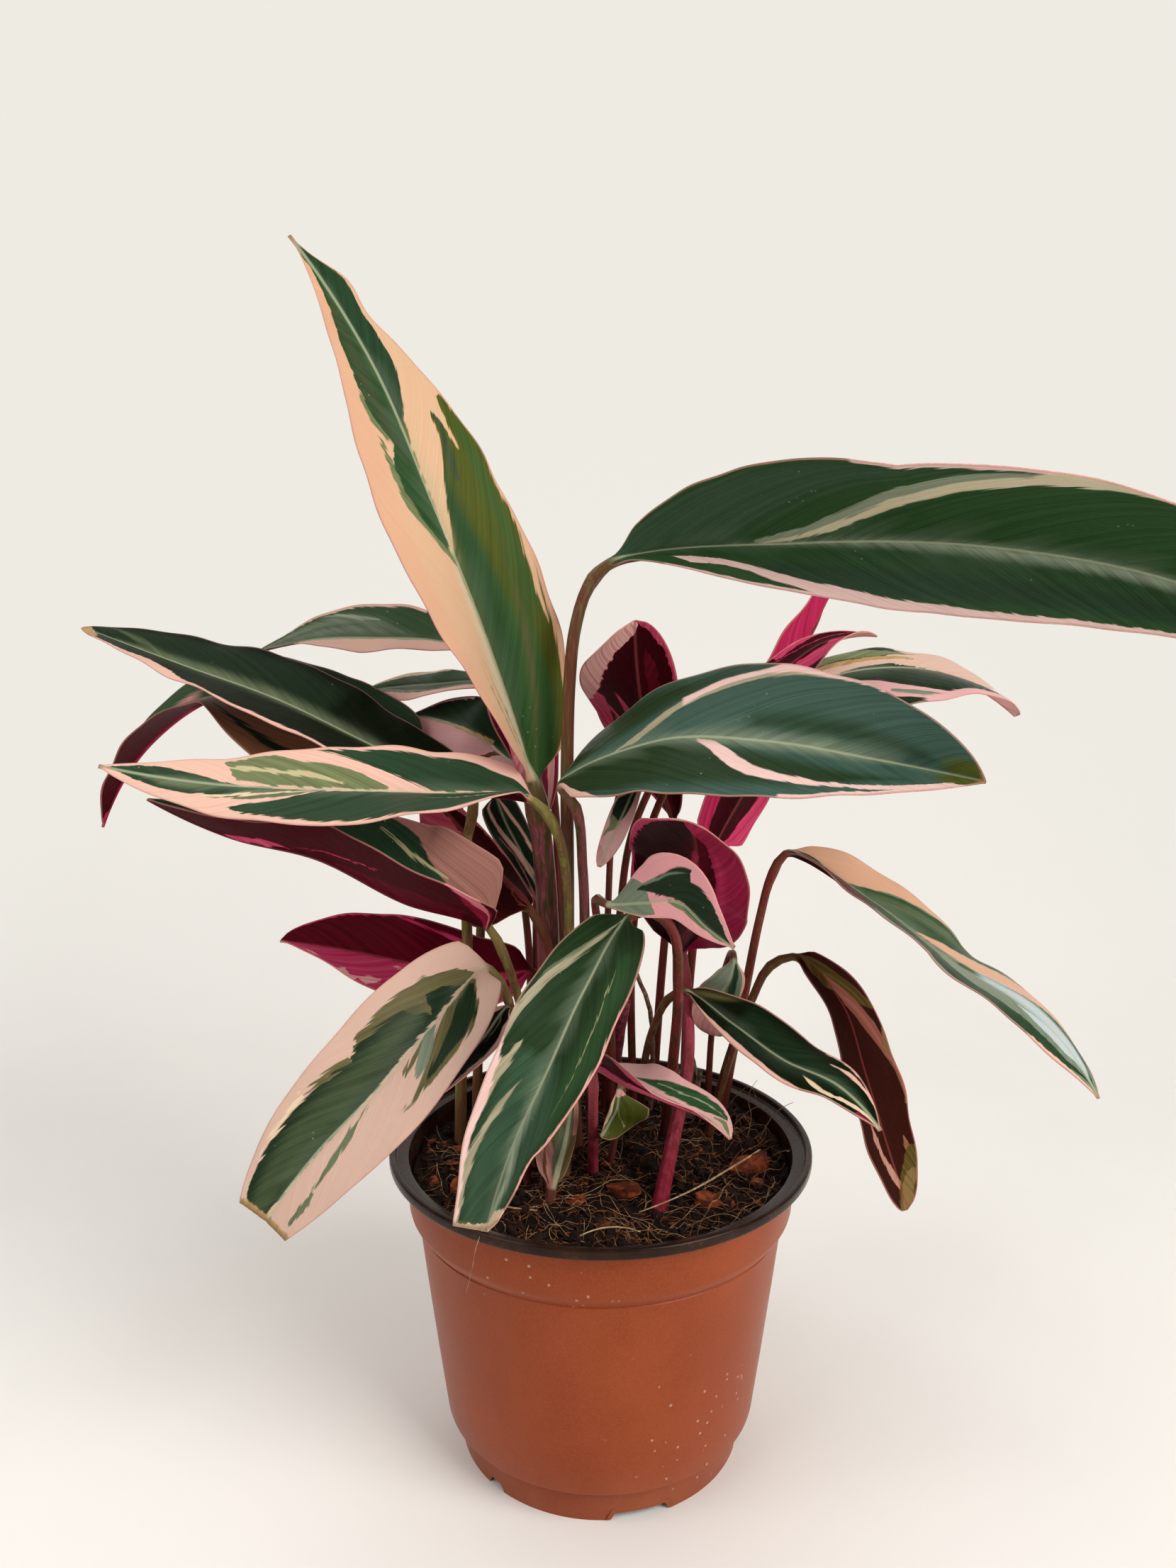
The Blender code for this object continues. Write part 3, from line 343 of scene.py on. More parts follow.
        midrib=[(-3, -50, 177), (9, -65, 177), (21, -73, 175), (33, -79, 172), (41, -92, 170)],
        radius=(2.4, 1.6), half=(12, 8.5), belly=0.41, full=1.3,
        face=(147, 69), twist=(50, 6), fold=(46, 17), curl=-2),
    "striped_inner_leaf": leaf(
        stem=[(-32, 30, 97), (-32, 31, 115), (-30, 34, 191), (-36, 35, 240), (-40, 36, 256)],
        midrib=[(-43, 30, 262), (-40, 25, 254), (-33, 24, 240), (-27, 22, 227), (-22, 21, 214)],
        radius=(1.8, 1.4), half=(8, 8.5), belly=0.25, full=1,
        face=(283, 45), twist=(-23, 0), fold=(17, 22), curl=6),
    "small_green_leaf": leaf(
        stem=[(3, 11, 97), (4, -1, 115), (6, -12, 133), (8, -17, 149), (8, -23, 158)],
        midrib=[(7, -29, 159), (6, -30, 152), (4, -28, 147), (2, -28, 143), (0, -31, 141)],
        radius=(1.6, 1.2), half=(12.5, 3), belly=0.32, full=1.1,
        face=(291, 11), twist=(-15, -2), fold=(20, 11), curl=13),
    "striped_sheath": leaf(
        stem=[(-20, -31, 97)],
        midrib=[(-19, -30, 119), (-17, -27, 127), (-14, -28, 139), (-12, -24, 149), (-11, -20, 160)],
        radius=(2.5, 2), half=(8, 10), belly=0.41, full=1.6,
        face=(125, -6), twist=(14, -3), fold=(25, 18), curl=4),
    "magenta_sheath": leaf(
        stem=[(-20, 48, 97), (-19, 42, 115), (-18, 22, 180), (-20, 15, 230)],
        midrib=[(-22, 12, 253), (-24, 12, 271), (-29, 13, 289), (-33, 14, 306), (-38, 15, 323)],
        radius=(2.4, 1.8), half=(15.5, 14.5), belly=0.6, full=1.8,
        face=(308, 23), twist=(-21, 39), fold=(25, 8), curl=9),
}


def patch(tone, *rows, blur=1.0):
    """A patch of one tone: places along the leaf, each with its lower and upper edge, in hundredths."""
    return tone, [tuple(value / 100 for value in row) for row in rows], blur


def wash(tone, *rows):
    """The same, with edges that fade out."""
    return patch(tone, *rows, blur=9.0)


# Each leaf's ground tone, its stem, and its patches from the first laid to the last.
MARKINGS = {
    "upright_leaf": ("olive", "purple_green", [
        wash("green", (0, -90, 0), (15, -80, 0), (26, -60, 0), (40, -40, -10), (46, -30, -30)),
        wash("forest", (10, -24, 2), (25, -40, 2), (40, -46, 0), (50, -40, -10), (58, -46, -30)),
        wash("green", (8, -66, -46), (20, -70, -50), (36, -70, -56), (46, -64, -64)),
        wash("green", (30, -86, -66), (45, -92, -70), (60, -95, -75), (66, -90, -90)),
        wash("khaki", (4, -30, -20), (14, -50, -36), (26, -60, -46), (34, -60, -60)),
        patch("moss", (53, -50, -42), (57, -58, -44), (60, -62, -50), (65, -66, -60), (66, -64, -64)),
        patch("dark", (64, -30, 0), (70, -45, 0), (80, -78, 0), (90, -86, 0), (100, -80, 0)),
        patch("salmon", (2, 2, 100), (30, 2, 100), (70, 10, 100), (94, 30, 100), (97, 100, 100)),
        wash("peach", (6, 2, 90), (20, 2, 80), (40, 4, 75), (60, 10, 60), (66, 50, 60), (75, 70, 70)),
        wash("ivory", (4, 2, 55), (14, 2, 45), (26, 2, 26), (40, 2, 14), (48, 2, 2)),
        patch("mid", (5, 30, 36), (12, 36, 41), (20, 40, 42), (26, 40, 40)),
        patch("mid", (8, 56, 60), (16, 54, 58), (24, 50, 50)),
        patch("mid", (40, 2, 8), (45, 6, 30), (50, 30, 50), (56, 42, 56), (62, 50, 56), (64, 60, 60)),
        patch("forest", (43, 2, 10), (48, 2, 32), (53, 2, 44), (58, 2, 46), (61, 2, 30), (66, 2, 55),
            (72, 2, 64), (80, 0, 68), (88, 0, 50), (95, -10, 30), (100, 0, 0)),
        # Partly painted sheen: this lighter wash lifts the tip's green to stand in for the shine on the
        # tip, over the leaf's own green.
        wash("moss", (60, 10, 30), (70, 20, 62), (85, 20, 60), (93, 10, 10)),
        patch("mid", (62, 34, 42), (66, 50, 60), (70, 60, 68), (72, 66, 66)),
        patch("peach", (42, -2, 5), (47, -14, 0), (52, -26, -2), (57, -40, -2), (61, -50, -4),
            (65, -58, -8), (67, -80, -20), (70, -100, -30), (74, -100, -50), (80, -100, -70),
            (88, -100, -85), (95, -100, -100)),
        patch("peach", (58, -70, -66), (62, -74, -66), (66, -82, -60), (68, -90, -90)),
        wash("lemon", (42, -4, 2), (48, -12, -3), (54, -18, -4), (62, -12, -6)),
        patch("peach", (26, -88, -86), (32, -93, -84), (38, -97, -88), (42, -100, -96)),
        patch("salmon", (2, -100, -93), (20, -100, -90), (34, -100, -94), (50, -100, -96),
            (56, -100, -100)),
        patch("salmon", (64, -100, -97), (98, -100, -92)),
    ]),
    "right_arching_leaf": ("teal", "olive", [
        wash("forest", (0, -100, 100), (30, -100, 100), (70, -100, 100), (100, -100, 100)),
        wash("grey", (2, -30, 20), (5, -10, 10), (8, 0, 0)),
        wash("jade", (4, 10, 95), (20, 10, 98), (34, 50, 98), (50, 80, 98), (60, 90, 90)),
        wash("dark", (30, -90, -40), (50, -85, -40), (80, -80, -40), (100, -80, -40)),
        patch("mist", (25, 2, 8), (33, 7, 22), (40, 22, 42), (45, 37, 58), (50, 53, 75), (56, 68, 88),
            (63, 80, 96), (70, 94, 94)),
        patch("ivory", (26, 1, 4), (33, 7, 14), (40, 22, 30), (45, 37, 47), (50, 53, 64), (56, 68, 79),
            (63, 80, 90), (72, 92, 100), (78, 100, 100)),
        wash("silver", (22, -3, 4), (40, -10, 6), (60, -18, 5), (80, -20, 6), (100, -10, 6)),
        patch("shell", (12, -50, -48), (16, -72, -44), (21, -64, -46), (26, -72, -56), (30, -85, -68),
            (36, -96, -77), (45, -100, -84), (60, -100, -90), (85, -100, -93), (97, -100, -98)),
        patch("shell", (12, -100, -95), (40, -100, -95)),
        patch("shell", (44, 97, 100), (60, 95, 100), (66, 98, 100)),
    ]),
    # Partly painted shade: this leaf's near-black ground is its own dark green, darkened further for the
    # shade it lies in.
    "left_upper_leaf": ("soot", "pale_olive", [
        wash("deep", (40, -90, 20), (70, -95, 50), (95, -90, 60), (100, -90, 60)),
        patch("pink", (25, 95, 100), (40, 90, 100), (60, 95, 100), (67, 88, 100), (72, 72, 100),
            (78, 66, 100), (83, 80, 100), (90, 95, 100), (98, 90, 100)),
        wash("sage", (78, -10, 4), (86, -42, -20), (92, -66, -50), (95, -80, -80)),
        wash("sage", (10, -12, 10), (40, -20, 16), (70, -22, 16), (90, -12, 10)),
        patch("tan", (94, 60, 100), (97, 0, 100), (100, -100, 100)),
    ]),
    "left_level_leaf": ("pink", "yellow_green", [
        patch("dark", (2, 0, 90), (30, 2, 95), (50, 4, 93), (55, 22, 90), (62, 42, 88), (68, 58, 85),
            (71, 72, 72)),
        patch("lemon", (4, 50, 56), (12, 30, 36), (20, 16, 20), (28, 10, 10)),
        patch("lemon", (10, 75, 80), (16, 55, 60), (24, 40, 42), (30, 30, 30)),
        patch("sage", (50, 2, 6), (58, 2, 26), (66, 2, 42), (74, 10, 50), (82, 30, 50), (86, 45, 45)),
        patch("cream", (50, 2, 4), (60, 12, 18), (68, 26, 36), (76, 40, 50), (84, 52, 52)),
        patch("dark", (62, -2, 6), (70, -4, 26), (75, -16, 40), (80, -36, 52), (86, -60, 56), (92, -76, 50),
            (97, -50, 20), (100, 0, 0)),
        wash("sage", (70, -2, 8), (78, -10, 36), (86, -20, 42), (92, 0, 10)),
        patch("dark", (2, -50, -5), (8, -55, -3), (14, -78, -3), (25, -88, -4), (33, -90, -32),
            (40, -93, -56), (48, -95, -84), (54, -95, -95)),
        patch("mid", (36, -14, -3), (42, -42, -3), (50, -60, -4), (56, -70, -5), (62, -90, -6),
            (68, -90, -8), (73, -86, -20), (75, -50, -50)),
        patch("lemon", (46, -20, -12), (54, -42, -28), (60, -48, -36), (70, -66, -50), (74, -64, -60)),
        patch("pink", (64, -10, -3), (70, -20, -5), (74, -90, -14), (80, -100, -40), (87, -100, -66),
            (95, -100, -85), (98, -100, -100)),
    ]),
    "back_left_leaf": ("forest", "brown", [
        patch("pink", (5, 10, 100), (30, 6, 100), (55, 10, 100), (72, 25, 100), (78, 40, 100)),
        patch("silver", (26, 4, 10), (34, 5, 25), (44, 4, 12), (60, 4, 20), (70, 4, 30), (78, 10, 30)),
        patch("silver", (48, -55, -50), (56, -66, -52), (66, -84, -70), (74, -90, -90)),
        wash("grey", (34, -16, -10), (48, -60, -6), (66, -85, -3), (85, -85, 0), (100, -50, 0)),
        wash("dark", (42, -30, -20), (55, -50, -26), (72, -56, -30), (90, -40, -20), (96, -30, -30)),
        patch("pink", (30, -100, -92), (90, -100, -90)),
    ]),
    "back_low_leaf": ("forest", "brown", [
        patch("pink", (5, 50, 100), (30, 66, 100), (60, 60, 100), (85, 40, 100), (100, 60, 100)),
        patch("grey", (25, 50, 66), (45, 52, 62), (65, 40, 58), (85, 10, 40), (95, 20, 20)),
        patch("cream", (40, -100, -90), (65, -100, -68), (90, -100, -70), (100, -100, -80)),
    ]),
    "back_dark_leaf": ("deep", "brown", [
        patch("mauve", (0, 5, 100), (30, -10, 100), (90, 2, 100), (100, 10, 100)),
        patch("brown", (20, 0, 10), (26, 10, 62), (30, 50, 70), (34, 65, 65)),
        patch("tan", (30, -20, 0), (50, -6, 10), (80, 0, 10), (90, 5, 5)),
        patch("mauve", (55, -100, -88), (80, -100, -85), (100, -100, -80)),
    ]),
    "brown_striped_leaf": ("umber", "pale_olive", [
        patch("dark", (0, -100, 0), (30, -100, 0), (62, -100, 0), (64, -100, 0)),
        patch("deep", (0, 4, 24), (30, 10, 32), (50, 20, 42), (60, 40, 40)),
        patch("deep", (5, 58, 70), (30, 62, 76), (45, 74, 82), (50, 80, 80)),
        patch("salmon", (0, 32, 44), (12, 38, 52), (22, 50, 56), (26, 56, 56)),
        patch("rose", (2, 84, 100), (12, 90, 100), (20, 100, 100)),
        patch("forest", (40, -100, -30), (46, -100, 10), (54, -100, 60), (60, -100, 100), (100, -100, 100)),
        wash("rose", (62, -50, 10), (78, -60, 10), (92, -40, 10)),
        patch("tan", (93, -100, -40), (100, -100, 100)),
    ]),
    "purple_backed_leaf": ("dark", "pale_olive", [
        patch("dusty", (0, -100, -4), (6, -100, -4), (14, -100, -25), (22, -100, -55), (30, -100, -80),
            (40, -100, -95)),
        patch("dusty", (10, -30, -4), (30, -25, -8), (50, -30, -20), (56, -25, -25)),
        patch("lemon", (16, -45, -40), (30, -60, -55), (42, -80, -78)),
        patch("mid", (0, 10, 70), (6, 30, 80), (12, 60, 95), (16, 90, 90)),
        patch("pink", (0, 40, 55), (6, 62, 75), (14, 85, 100), (20, 100, 100)),
        patch("green", (10, 2, 35), (25, 2, 45), (40, 2, 20), (50, 5, 5)),
        patch("silver", (36, 50, 53), (46, 30, 34), (56, 18, 20), (60, 12, 12)),
        patch("silver", (60, 10, 12), (68, 5, 30), (74, 2, 20), (78, 10, 10)),
        patch("pink", (60, -100, -90), (95, -100, -85)),
    ]),
    "dark_purple_leaf": ("deep", "brown", [
        patch("mid", (2, -30, -16), (10, -12, -5), (20, -6, -2), (30, 0, 0)),
        wash("green", (5, -100, -50), (20, -90, -30), (35, -60, -30), (45, -40, -40)),
        wash("olive", (50, 30, 50), (62, 5, 40), (72, 50, 70), (78, 90, 90)),
        patch("rose", (60, -10, -5), (75, -40, -5), (85, -90, -10), (100, -100, 0)),
        patch("salmon", (10, 93, 100), (60, 90, 100), (80, 60, 100), (100, -100, 100)),
    ]),
    "magenta_backed_leaf": ("rose", "brown", [
        patch("olive", (0, -100, 2), (50, -100, 3), (90, -100, 0), (100, -100, 0)),
        wash("green", (0, -90, -10), (40, -70, -6), (70, -50, -10), (80, -30, -30)),
        wash("rose", (0, 2, 40), (40, 2, 25), (70, 2, 30), (100, 0, 50)),
        patch("rose", (28, -80, -70), (40, -86, -76), (55, -96, -90), (60, -100, -100)),
        patch("rose", (50, -100, -96), (80, -100, -94), (95, -100, -90)),
        patch("mid", (4, 10, 30), (10, 20, 60), (14, 50, 50)),
        patch("cream", (56, 66, 72), (60, 66, 95), (64, 80, 90), (67, 90, 100), (70, 80, 100),
            (73, 95, 100), (76, 100, 100)),
        patch("cream", (50, 22, 22), (52, 18, 28), (55, 24, 24)),
        patch("cream", (80, 86, 90), (84, 75, 90), (88, 80, 86), (90, 80, 80)),
    ]),
    "low_left_leaf": ("blush", "pale_olive", [
        patch("khaki", (8, 4, 20), (16, 4, 60), (24, 4, 76), (34, 5, 76), (45, 20, 70), (50, 62, 70),
            (54, 66, 66)),
        patch("deep", (10, 10, 24), (16, 12, 55), (20, 14, 68), (26, 30, 70), (34, 48, 66), (44, 60, 64),
            (48, 64, 64)),
        patch("blush", (24, 2, 6), (30, 6, 20), (38, 20, 42), (50, 30, 66), (60, 40, 66), (64, 60, 60)),
        patch("grey", (28, 2, 8), (34, 10, 34), (40, 26, 46), (44, 44, 48)),
        patch("sage", (58, 10, 12), (66, 16, 30), (74, 28, 42), (82, 42, 50), (86, 50, 50)),
        patch("sage", (85, 50, 56), (88, 50, 68), (95, 56, 72), (97, 70, 70)),
        patch("khaki", (6, -10, -4), (10, -40, -5), (14, -50, -6), (20, -72, -8), (30, -76, -10),
            (45, -78, -10), (52, -60, -10), (56, -30, -30)),
        patch("deep", (12, -10, -4), (18, -36, -5), (24, -46, -6), (26, -14, -4), (32, -50, -3),
            (40, -62, -3), (48, -68, -2), (52, -60, -2), (60, -68, 0), (70, -74, 4), (78, -80, 4),
            (86, -84, 0), (94, -86, -6), (100, -80, -10)),
        wash("moss", (30, -50, -10), (50, -60, -10), (75, -70, 0), (100, -70, -10)),
        patch("khaki", (52, -68, -58), (60, -78, -66), (66, -80, -72), (68, -78, -78)),
        patch("cream", (68, -86, -74), (76, -84, -78), (80, -90, -82), (88, -90, -88)),
        patch("tan", (98.5, -100, 100), (100, -100, 100)),
    ]),
    "narrow_dark_leaf": ("soot", "purple_green", [
        patch("pink", (0, -100, -30), (8, -100, -30), (16, -100, -60), (30, -100, -80), (100, -100, -90)),
        patch("silver", (8, 0, 10), (14, 24, 32), (24, 24, 30), (30, 30, 30)),
        patch("shell", (5, 80, 100), (16, 56, 100), (26, 70, 100), (40, 80, 100), (50, 72, 100),
            (62, 84, 100), (100, 90, 100)),
        wash("forest", (40, 50, 72), (50, 50, 70), (60, 50, 80), (66, 60, 60)),
    ]),
    "front_leaf": ("pine", "brown", [
        wash("forest", (20, 40, 90), (40, 40, 95), (70, 30, 95), (90, 40, 90), (96, 50, 50)),
        # Partly painted sheen: this teal wash toward the tip stands in for a bluish shine on the lower part
        # of the blade, over its own green.
        wash("jade", (55, -70, 30), (70, -80, 90), (85, -80, 95), (100, -80, 95)),
        patch("lemon", (24, 50, 51), (30, 53, 56), (42, 57, 60), (56, 62, 64), (66, 68, 68)),
        patch("sage", (2, -12, -6), (8, -28, -13), (14, -46, -25), (20, -64, -39), (26, -82, -54),
            (30, -90, -70), (34, -90, -90)),
        patch("beige", (2, -10, -6), (8, -24, -16), (14, -40, -28), (20, -56, -42), (27, -74, -58),
            (33, -90, -72), (42, -97, -84), (52, -100, -93), (58, -100, -97)),
        patch("beige", (51, -64, -62), (53, -78, -62), (56, -80, -66), (59, -96, -68), (66, -100, -76),
            (73, -100, -80), (76, -100, -92), (81, -100, -94), (84, -100, -100)),
        patch("beige", (61, -36, -35), (66, -50, -42), (72, -64, -52), (78, -76, -62), (84, -90, -72),
            (90, -95, -78), (97, -100, -82), (100, -100, -85)),
        wash("silver", (60, -10, 10), (78, -10, 30), (84, 0, 50), (90, 0, 60), (96, 0, 50), (100, 0, 40)),
        wash("green", (82, 8, 14), (86, 6, 34), (90, 8, 30), (93, 14, 14)),
        patch("shell", (52, -100, -96), (60, -100, -88), (70, -100, -80), (85, -100, -88),
            (100, -100, -90)),
        patch("pink", (30, 99, 100), (60, 97, 100), (90, 96, 100)),
        patch("cream", (96, 30, 90), (98, 0, 100), (100, -100, 100)),
    ]),
    "right_middle_leaf": ("teal", "purple_green", [
        wash("pine", (2, -98, 10), (30, -95, 0), (50, -86, -16), (70, -80, -36), (85, -60, -50)),
        wash("pine", (6, 10, 95), (25, 40, 97), (45, 85, 97), (52, 97, 97)),
        wash("dark", (50, 10, 40), (70, 14, 50), (86, 10, 40), (92, 20, 20)),
        patch("pink", (0, 40, 100), (3, 60, 100), (6, 90, 100), (10, 100, 100)),
        patch("pink", (0, -100, -30), (3, -100, -45), (8, -100, -80), (14, -100, -100)),
        patch("beige", (17, 2, 4), (22, 6, 22), (27, 26, 42), (32, 45, 58), (37, 58, 70), (43, 70, 82),
            (50, 80, 90), (58, 88, 96), (66, 95, 100)),
        patch("shell", (33, 50, 64), (40, 70, 80), (50, 86, 93), (65, 95, 100), (75, 97, 100)),
        patch("shell", (37, -6, -3), (42, -28, -8), (47, -50, -26), (52, -64, -46), (58, -72, -58),
            (66, -78, -68), (76, -84, -74), (85, -92, -76), (91, -100, -72), (95, -100, -60),
            (98, -100, -100)),
        patch("shell", (60, -100, -94), (80, -100, -92), (94, -100, -90)),
        wash("olive", (93, -60, 50), (97, -80, 80), (100, -100, 100)),
        wash("mist", (28, -8, 6), (50, -16, 12), (66, -16, 16), (78, -10, 10), (84, 0, 0)),
    ]),
    "crimson_leaf": ("deep", "brown", [
        patch("rose", (0, -100, -75), (30, -100, -80), (50, -100, -70), (60, -100, -66), (70, -100, -100)),
        patch("rose", (14, -60, -50), (30, -62, -44), (46, -66, -50), (58, -70, -70)),
        patch("rose", (20, -30, -24), (40, -34, -20), (55, -40, -30), (66, -50, -50)),
        patch("olive", (20, 10, 50), (50, 20, 60), (80, 20, 50), (86, 30, 30)),
        patch("cream", (58, -100, -92), (66, -100, -66), (76, -100, -56), (86, -100, -40), (94, -100, 0),
            (100, -100, 40)),
        patch("rose", (70, 90, 100), (85, 85, 100), (95, 60, 100), (100, 20, 100)),
    ]),
    "crimson_upright_leaf": ("deep", "brown", [
        patch("rose", (0, 40, 100), (12, 50, 100), (25, 70, 100), (50, 80, 100), (80, 90, 100)),
        patch("dusty", (0, -100, -40), (10, -100, -45), (25, -100, -60), (45, -100, -40), (60, -100, -10),
            (80, -100, 5), (90, -100, -40), (100, -100, -80)),
        patch("brown", (3, 40, 44), (15, 34, 40), (25, 30, 30)),
    ]),
    "rolled_crimson_leaf": ("deep", "brown", [
        patch("rose", (40, 10, 60), (55, 10, 70), (70, 20, 100), (85, -30, 100), (100, -50, 100)),
        patch("rose", (50, -95, -72), (60, -100, -70), (70, -100, -80), (80, -100, -100)),
        patch("pink", (30, -80, -76), (50, -70, -66), (70, -50, -45), (85, -70, -64), (95, -90, -90)),
        patch("pink", (40, -100, -96), (90, -100, -93)),
    ]),
    "right_back_leaf": ("deep", "brown", [
        patch("blush", (0, 2, 70), (40, 5, 40), (55, 16, 50), (62, 6, 80), (75, 2, 90), (85, 10, 100),
            (100, 30, 100)),
        patch("mid", (20, 60, 100), (40, 55, 100), (52, 50, 86), (62, 60, 70), (68, 70, 70)),
        patch("tan", (32, 30, 56), (45, 30, 50), (60, 35, 50), (66, 40, 40)),
        patch("blush", (60, 80, 100), (75, 70, 100), (88, 50, 100), (100, 50, 100)),
        patch("mauve", (38, -30, -20), (48, -70, -35), (56, -90, -60), (66, -100, -84), (85, -100, -80),
            (100, -100, -50)),
        patch("grey", (50, -66, -60), (58, -86, -74), (66, -90, -90)),
        patch("silver", (84, -60, 10), (92, -80, 20), (100, -100, 0)),
        wash("cream", (88, -40, 30), (94, -100, 100), (100, -100, 100)),
    ]),
    "right_long_leaf": ("grey", "red_brown", [
        patch("salmon", (1, 2, 100), (20, 2, 100), (30, 55, 100), (40, 90, 100), (45, 100, 100)),
        patch("forest", (20, 3, 6), (27, 3, 36), (34, 4, 66), (42, 8, 93), (47, 30, 96), (54, 60, 96),
            (62, 86, 96), (66, 97, 97)),
        wash("sage", (28, 5, 30), (36, 25, 60), (46, 55, 90), (52, 80, 80)),
        patch("salmon", (42, 3, 8), (48, 10, 34), (55, 16, 60), (62, 20, 80), (70, 40, 95), (78, 75, 100),
            (86, 90, 100)),
        patch("forest", (55, 0, 12), (66, 0, 30), (78, 0, 70), (90, 0, 85), (100, 0, 0)),
        wash("grey", (60, -55, 8), (75, -50, 20), (88, -45, 30), (100, 0, 0)),
        patch("dark", (10, -80, -20), (40, -90, -40), (60, -98, -66), (75, -100, -60), (90, -95, -55),
            (100, 0, 0)),
        # Painted reflection: the pale blue wash and streaks toward the tip stand in for the window's shine
        # on the glossy blade, muted so they also read as a silvery marking.
        wash("painted_sheen_blue", (62, -10, 30), (74, -20, 50), (84, -30, 60), (92, -20, 50), (97, 0, 0)),
        patch("painted_sheen_blue", (66, 10, 16), (74, 10, 36), (84, 8, 45), (90, 12, 36), (93, 20, 20)),
        patch("painted_sheen_blue", (72, -30, -24), (80, -40, -12), (88, -36, -4), (92, -10, -10)),
        patch("wine", (0, -100, 30), (6, -100, 22), (12, -100, 8), (20, -100, -10), (28, -100, -60),
            (34, -100, -100)),
        patch("pink", (80, -100, -95), (93, -100, -80), (100, -100, -60)),
    ]),
    "right_drooping_leaf": ("deep", "olive", [
        patch("rose", (12, -24, -16), (18, -42, -8), (26, -60, -20), (34, -84, -44), (42, -95, -70),
            (50, -100, -88), (65, -100, -95)),
        patch("pink", (63, 36, 42), (70, 30, 50), (78, 26, 44), (86, 0, 34), (92, -20, 10), (94, 0, 0)),
        patch("sage", (2, -50, 30), (8, -60, 40), (16, -70, 20), (26, -90, -50), (30, -100, -90)),
        patch("rose", (12, -24, -16), (18, -42, -8), (26, -60, -20), (30, -66, -40)),
        patch("rose", (76, -70, -62), (82, -84, -66), (88, -90, -80)),
        patch("sage", (80, -100, -70), (88, -100, -20), (94, -90, 30), (100, -100, 100)),
        patch("grey", (88, -100, -50), (92, -90, -10), (96, -80, 40), (100, -100, 100)),
        patch("grey", (36, -100, -92), (44, -100, -80), (48, -100, -100)),
    ]),
    "right_front_leaf": ("soot", "olive", [
        wash("khaki", (0, -40, 60), (8, 0, 80), (18, 55, 95), (24, 95, 95)),
        wash("deep", (30, -70, 90), (60, -60, 80), (80, -50, 60), (95, -30, 30)),
        patch("pink", (12, -100, -90), (25, -100, -76), (40, -100, -74), (55, -100, -84), (66, -100, -95)),
        patch("cream", (64, -36, -34), (69, -70, -45), (74, -84, -62), (79, -84, -66), (82, -74, -50),
            (88, -60, -30), (94, -50, -15), (100, -40, 0)),
        patch("pink", (70, 60, 64), (76, 60, 78), (84, 72, 90), (90, 84, 100), (95, 100, 100)),
        patch("pink", (66, 93, 100), (80, 92, 100)),
        patch("crimson", (90, -100, -60), (100, -100, -50)),
    ]),
    "small_pink_leaf": ("lilac", "brown", [
        patch("grey", (0, -100, 20), (12, -100, 100), (35, -90, 30), (42, -80, -80)),
        patch("deep", (26, 36, 42), (34, 28, 50), (42, 16, 52), (50, 8, 60), (56, 4, 76), (61, 4, 86),
            (62, 4, 60), (68, 4, 72), (78, 4, 82), (88, 4, 76), (95, 2, 50), (100, 0, 0)),
        patch("grey", (22, 50, 56), (34, 42, 50), (46, 44, 52), (56, 60, 66), (60, 72, 72)),
        patch("mid", (50, -16, 4), (58, -36, 4), (70, -34, 4), (82, -30, 4), (92, -50, 2), (100, 0, 0)),
        patch("green", (62, -18, 4), (75, -20, 5), (88, -25, 4), (95, 0, 0)),
    ]),
    "round_crimson_leaf": ("soot", "magenta", [
        wash("olive", (10, -20, 30), (50, -30, 30), (80, -20, 30), (100, 0, 30)),
        patch("dusty", (0, 34, 100), (30, 36, 100), (60, 34, 100), (85, 20, 100), (100, -40, 100)),
        wash("rose", (20, 34, 55), (50, 34, 60), (75, 30, 50), (85, 30, 30)),
        patch("dusty", (20, 0, 6), (50, -10, 0), (75, -10, 4), (80, 0, 0)),
        patch("rose", (0, -100, -96), (60, -100, -95), (80, -100, -86), (90, -100, -80), (100, -100, -50)),
    ]),
    "pale_hanging_leaf": ("mauve", "brown", [
        patch("deep", (15, 0, 50), (22, -30, 62), (30, -90, 62), (42, -92, 50), (50, -80, 20),
            (54, -30, -30)),
        patch("mid", (48, -90, -60), (53, -80, 10), (60, -60, 5), (66, -80, -50), (72, -90, -80),
            (76, -90, -90)),
        patch("rose", (80, -100, -60), (100, -100, 100)),
    ]),
    "small_grey_leaf": ("grey", "brown", [
        patch("dark", (5, 15, 55), (20, 0, 50), (35, 20, 70), (50, 40, 90), (60, 70, 70)),
        patch("pink", (0, 70, 100), (20, 85, 100), (40, 95, 100)),
        patch("rose", (50, -100, -30), (65, -100, 0), (85, -100, 20), (100, -100, 100)),
        patch("tan", (60, -20, 30), (80, -20, 40), (100, 0, 40)),
    ]),
    "low_folded_leaf": ("mauve", "magenta", [
        patch("forest", (30, 30, 34), (42, 22, 46), (55, 16, 66), (66, 14, 80), (76, 16, 88), (82, 40, 90),
            (86, 60, 90), (88, 75, 75)),
        patch("silver", (46, 36, 40), (60, 40, 46), (72, 50, 58), (82, 64, 70), (86, 70, 70)),
        patch("mid", (82, 20, 30), (88, 30, 66), (94, 20, 60), (100, 0, 30)),
        patch("dark", (10, -100, -20), (40, -50, -20), (60, -80, -20), (80, -80, -20), (100, 0, 0)),
    ]),
    "striped_inner_leaf": ("deep", "brown", [
        patch("pink", (5, 10, 26), (15, 20, 42), (30, 42, 60), (50, 56, 76), (70, 90, 90)),
        patch("pink", (5, -76, -60), (20, -66, -46), (40, -50, -20), (55, -40, 10), (66, -30, 30),
            (75, 0, 0)),
        patch("rose", (30, -76, -70), (50, -56, -46), (72, -66, -50), (85, -100, -60), (100, -100, 0)),
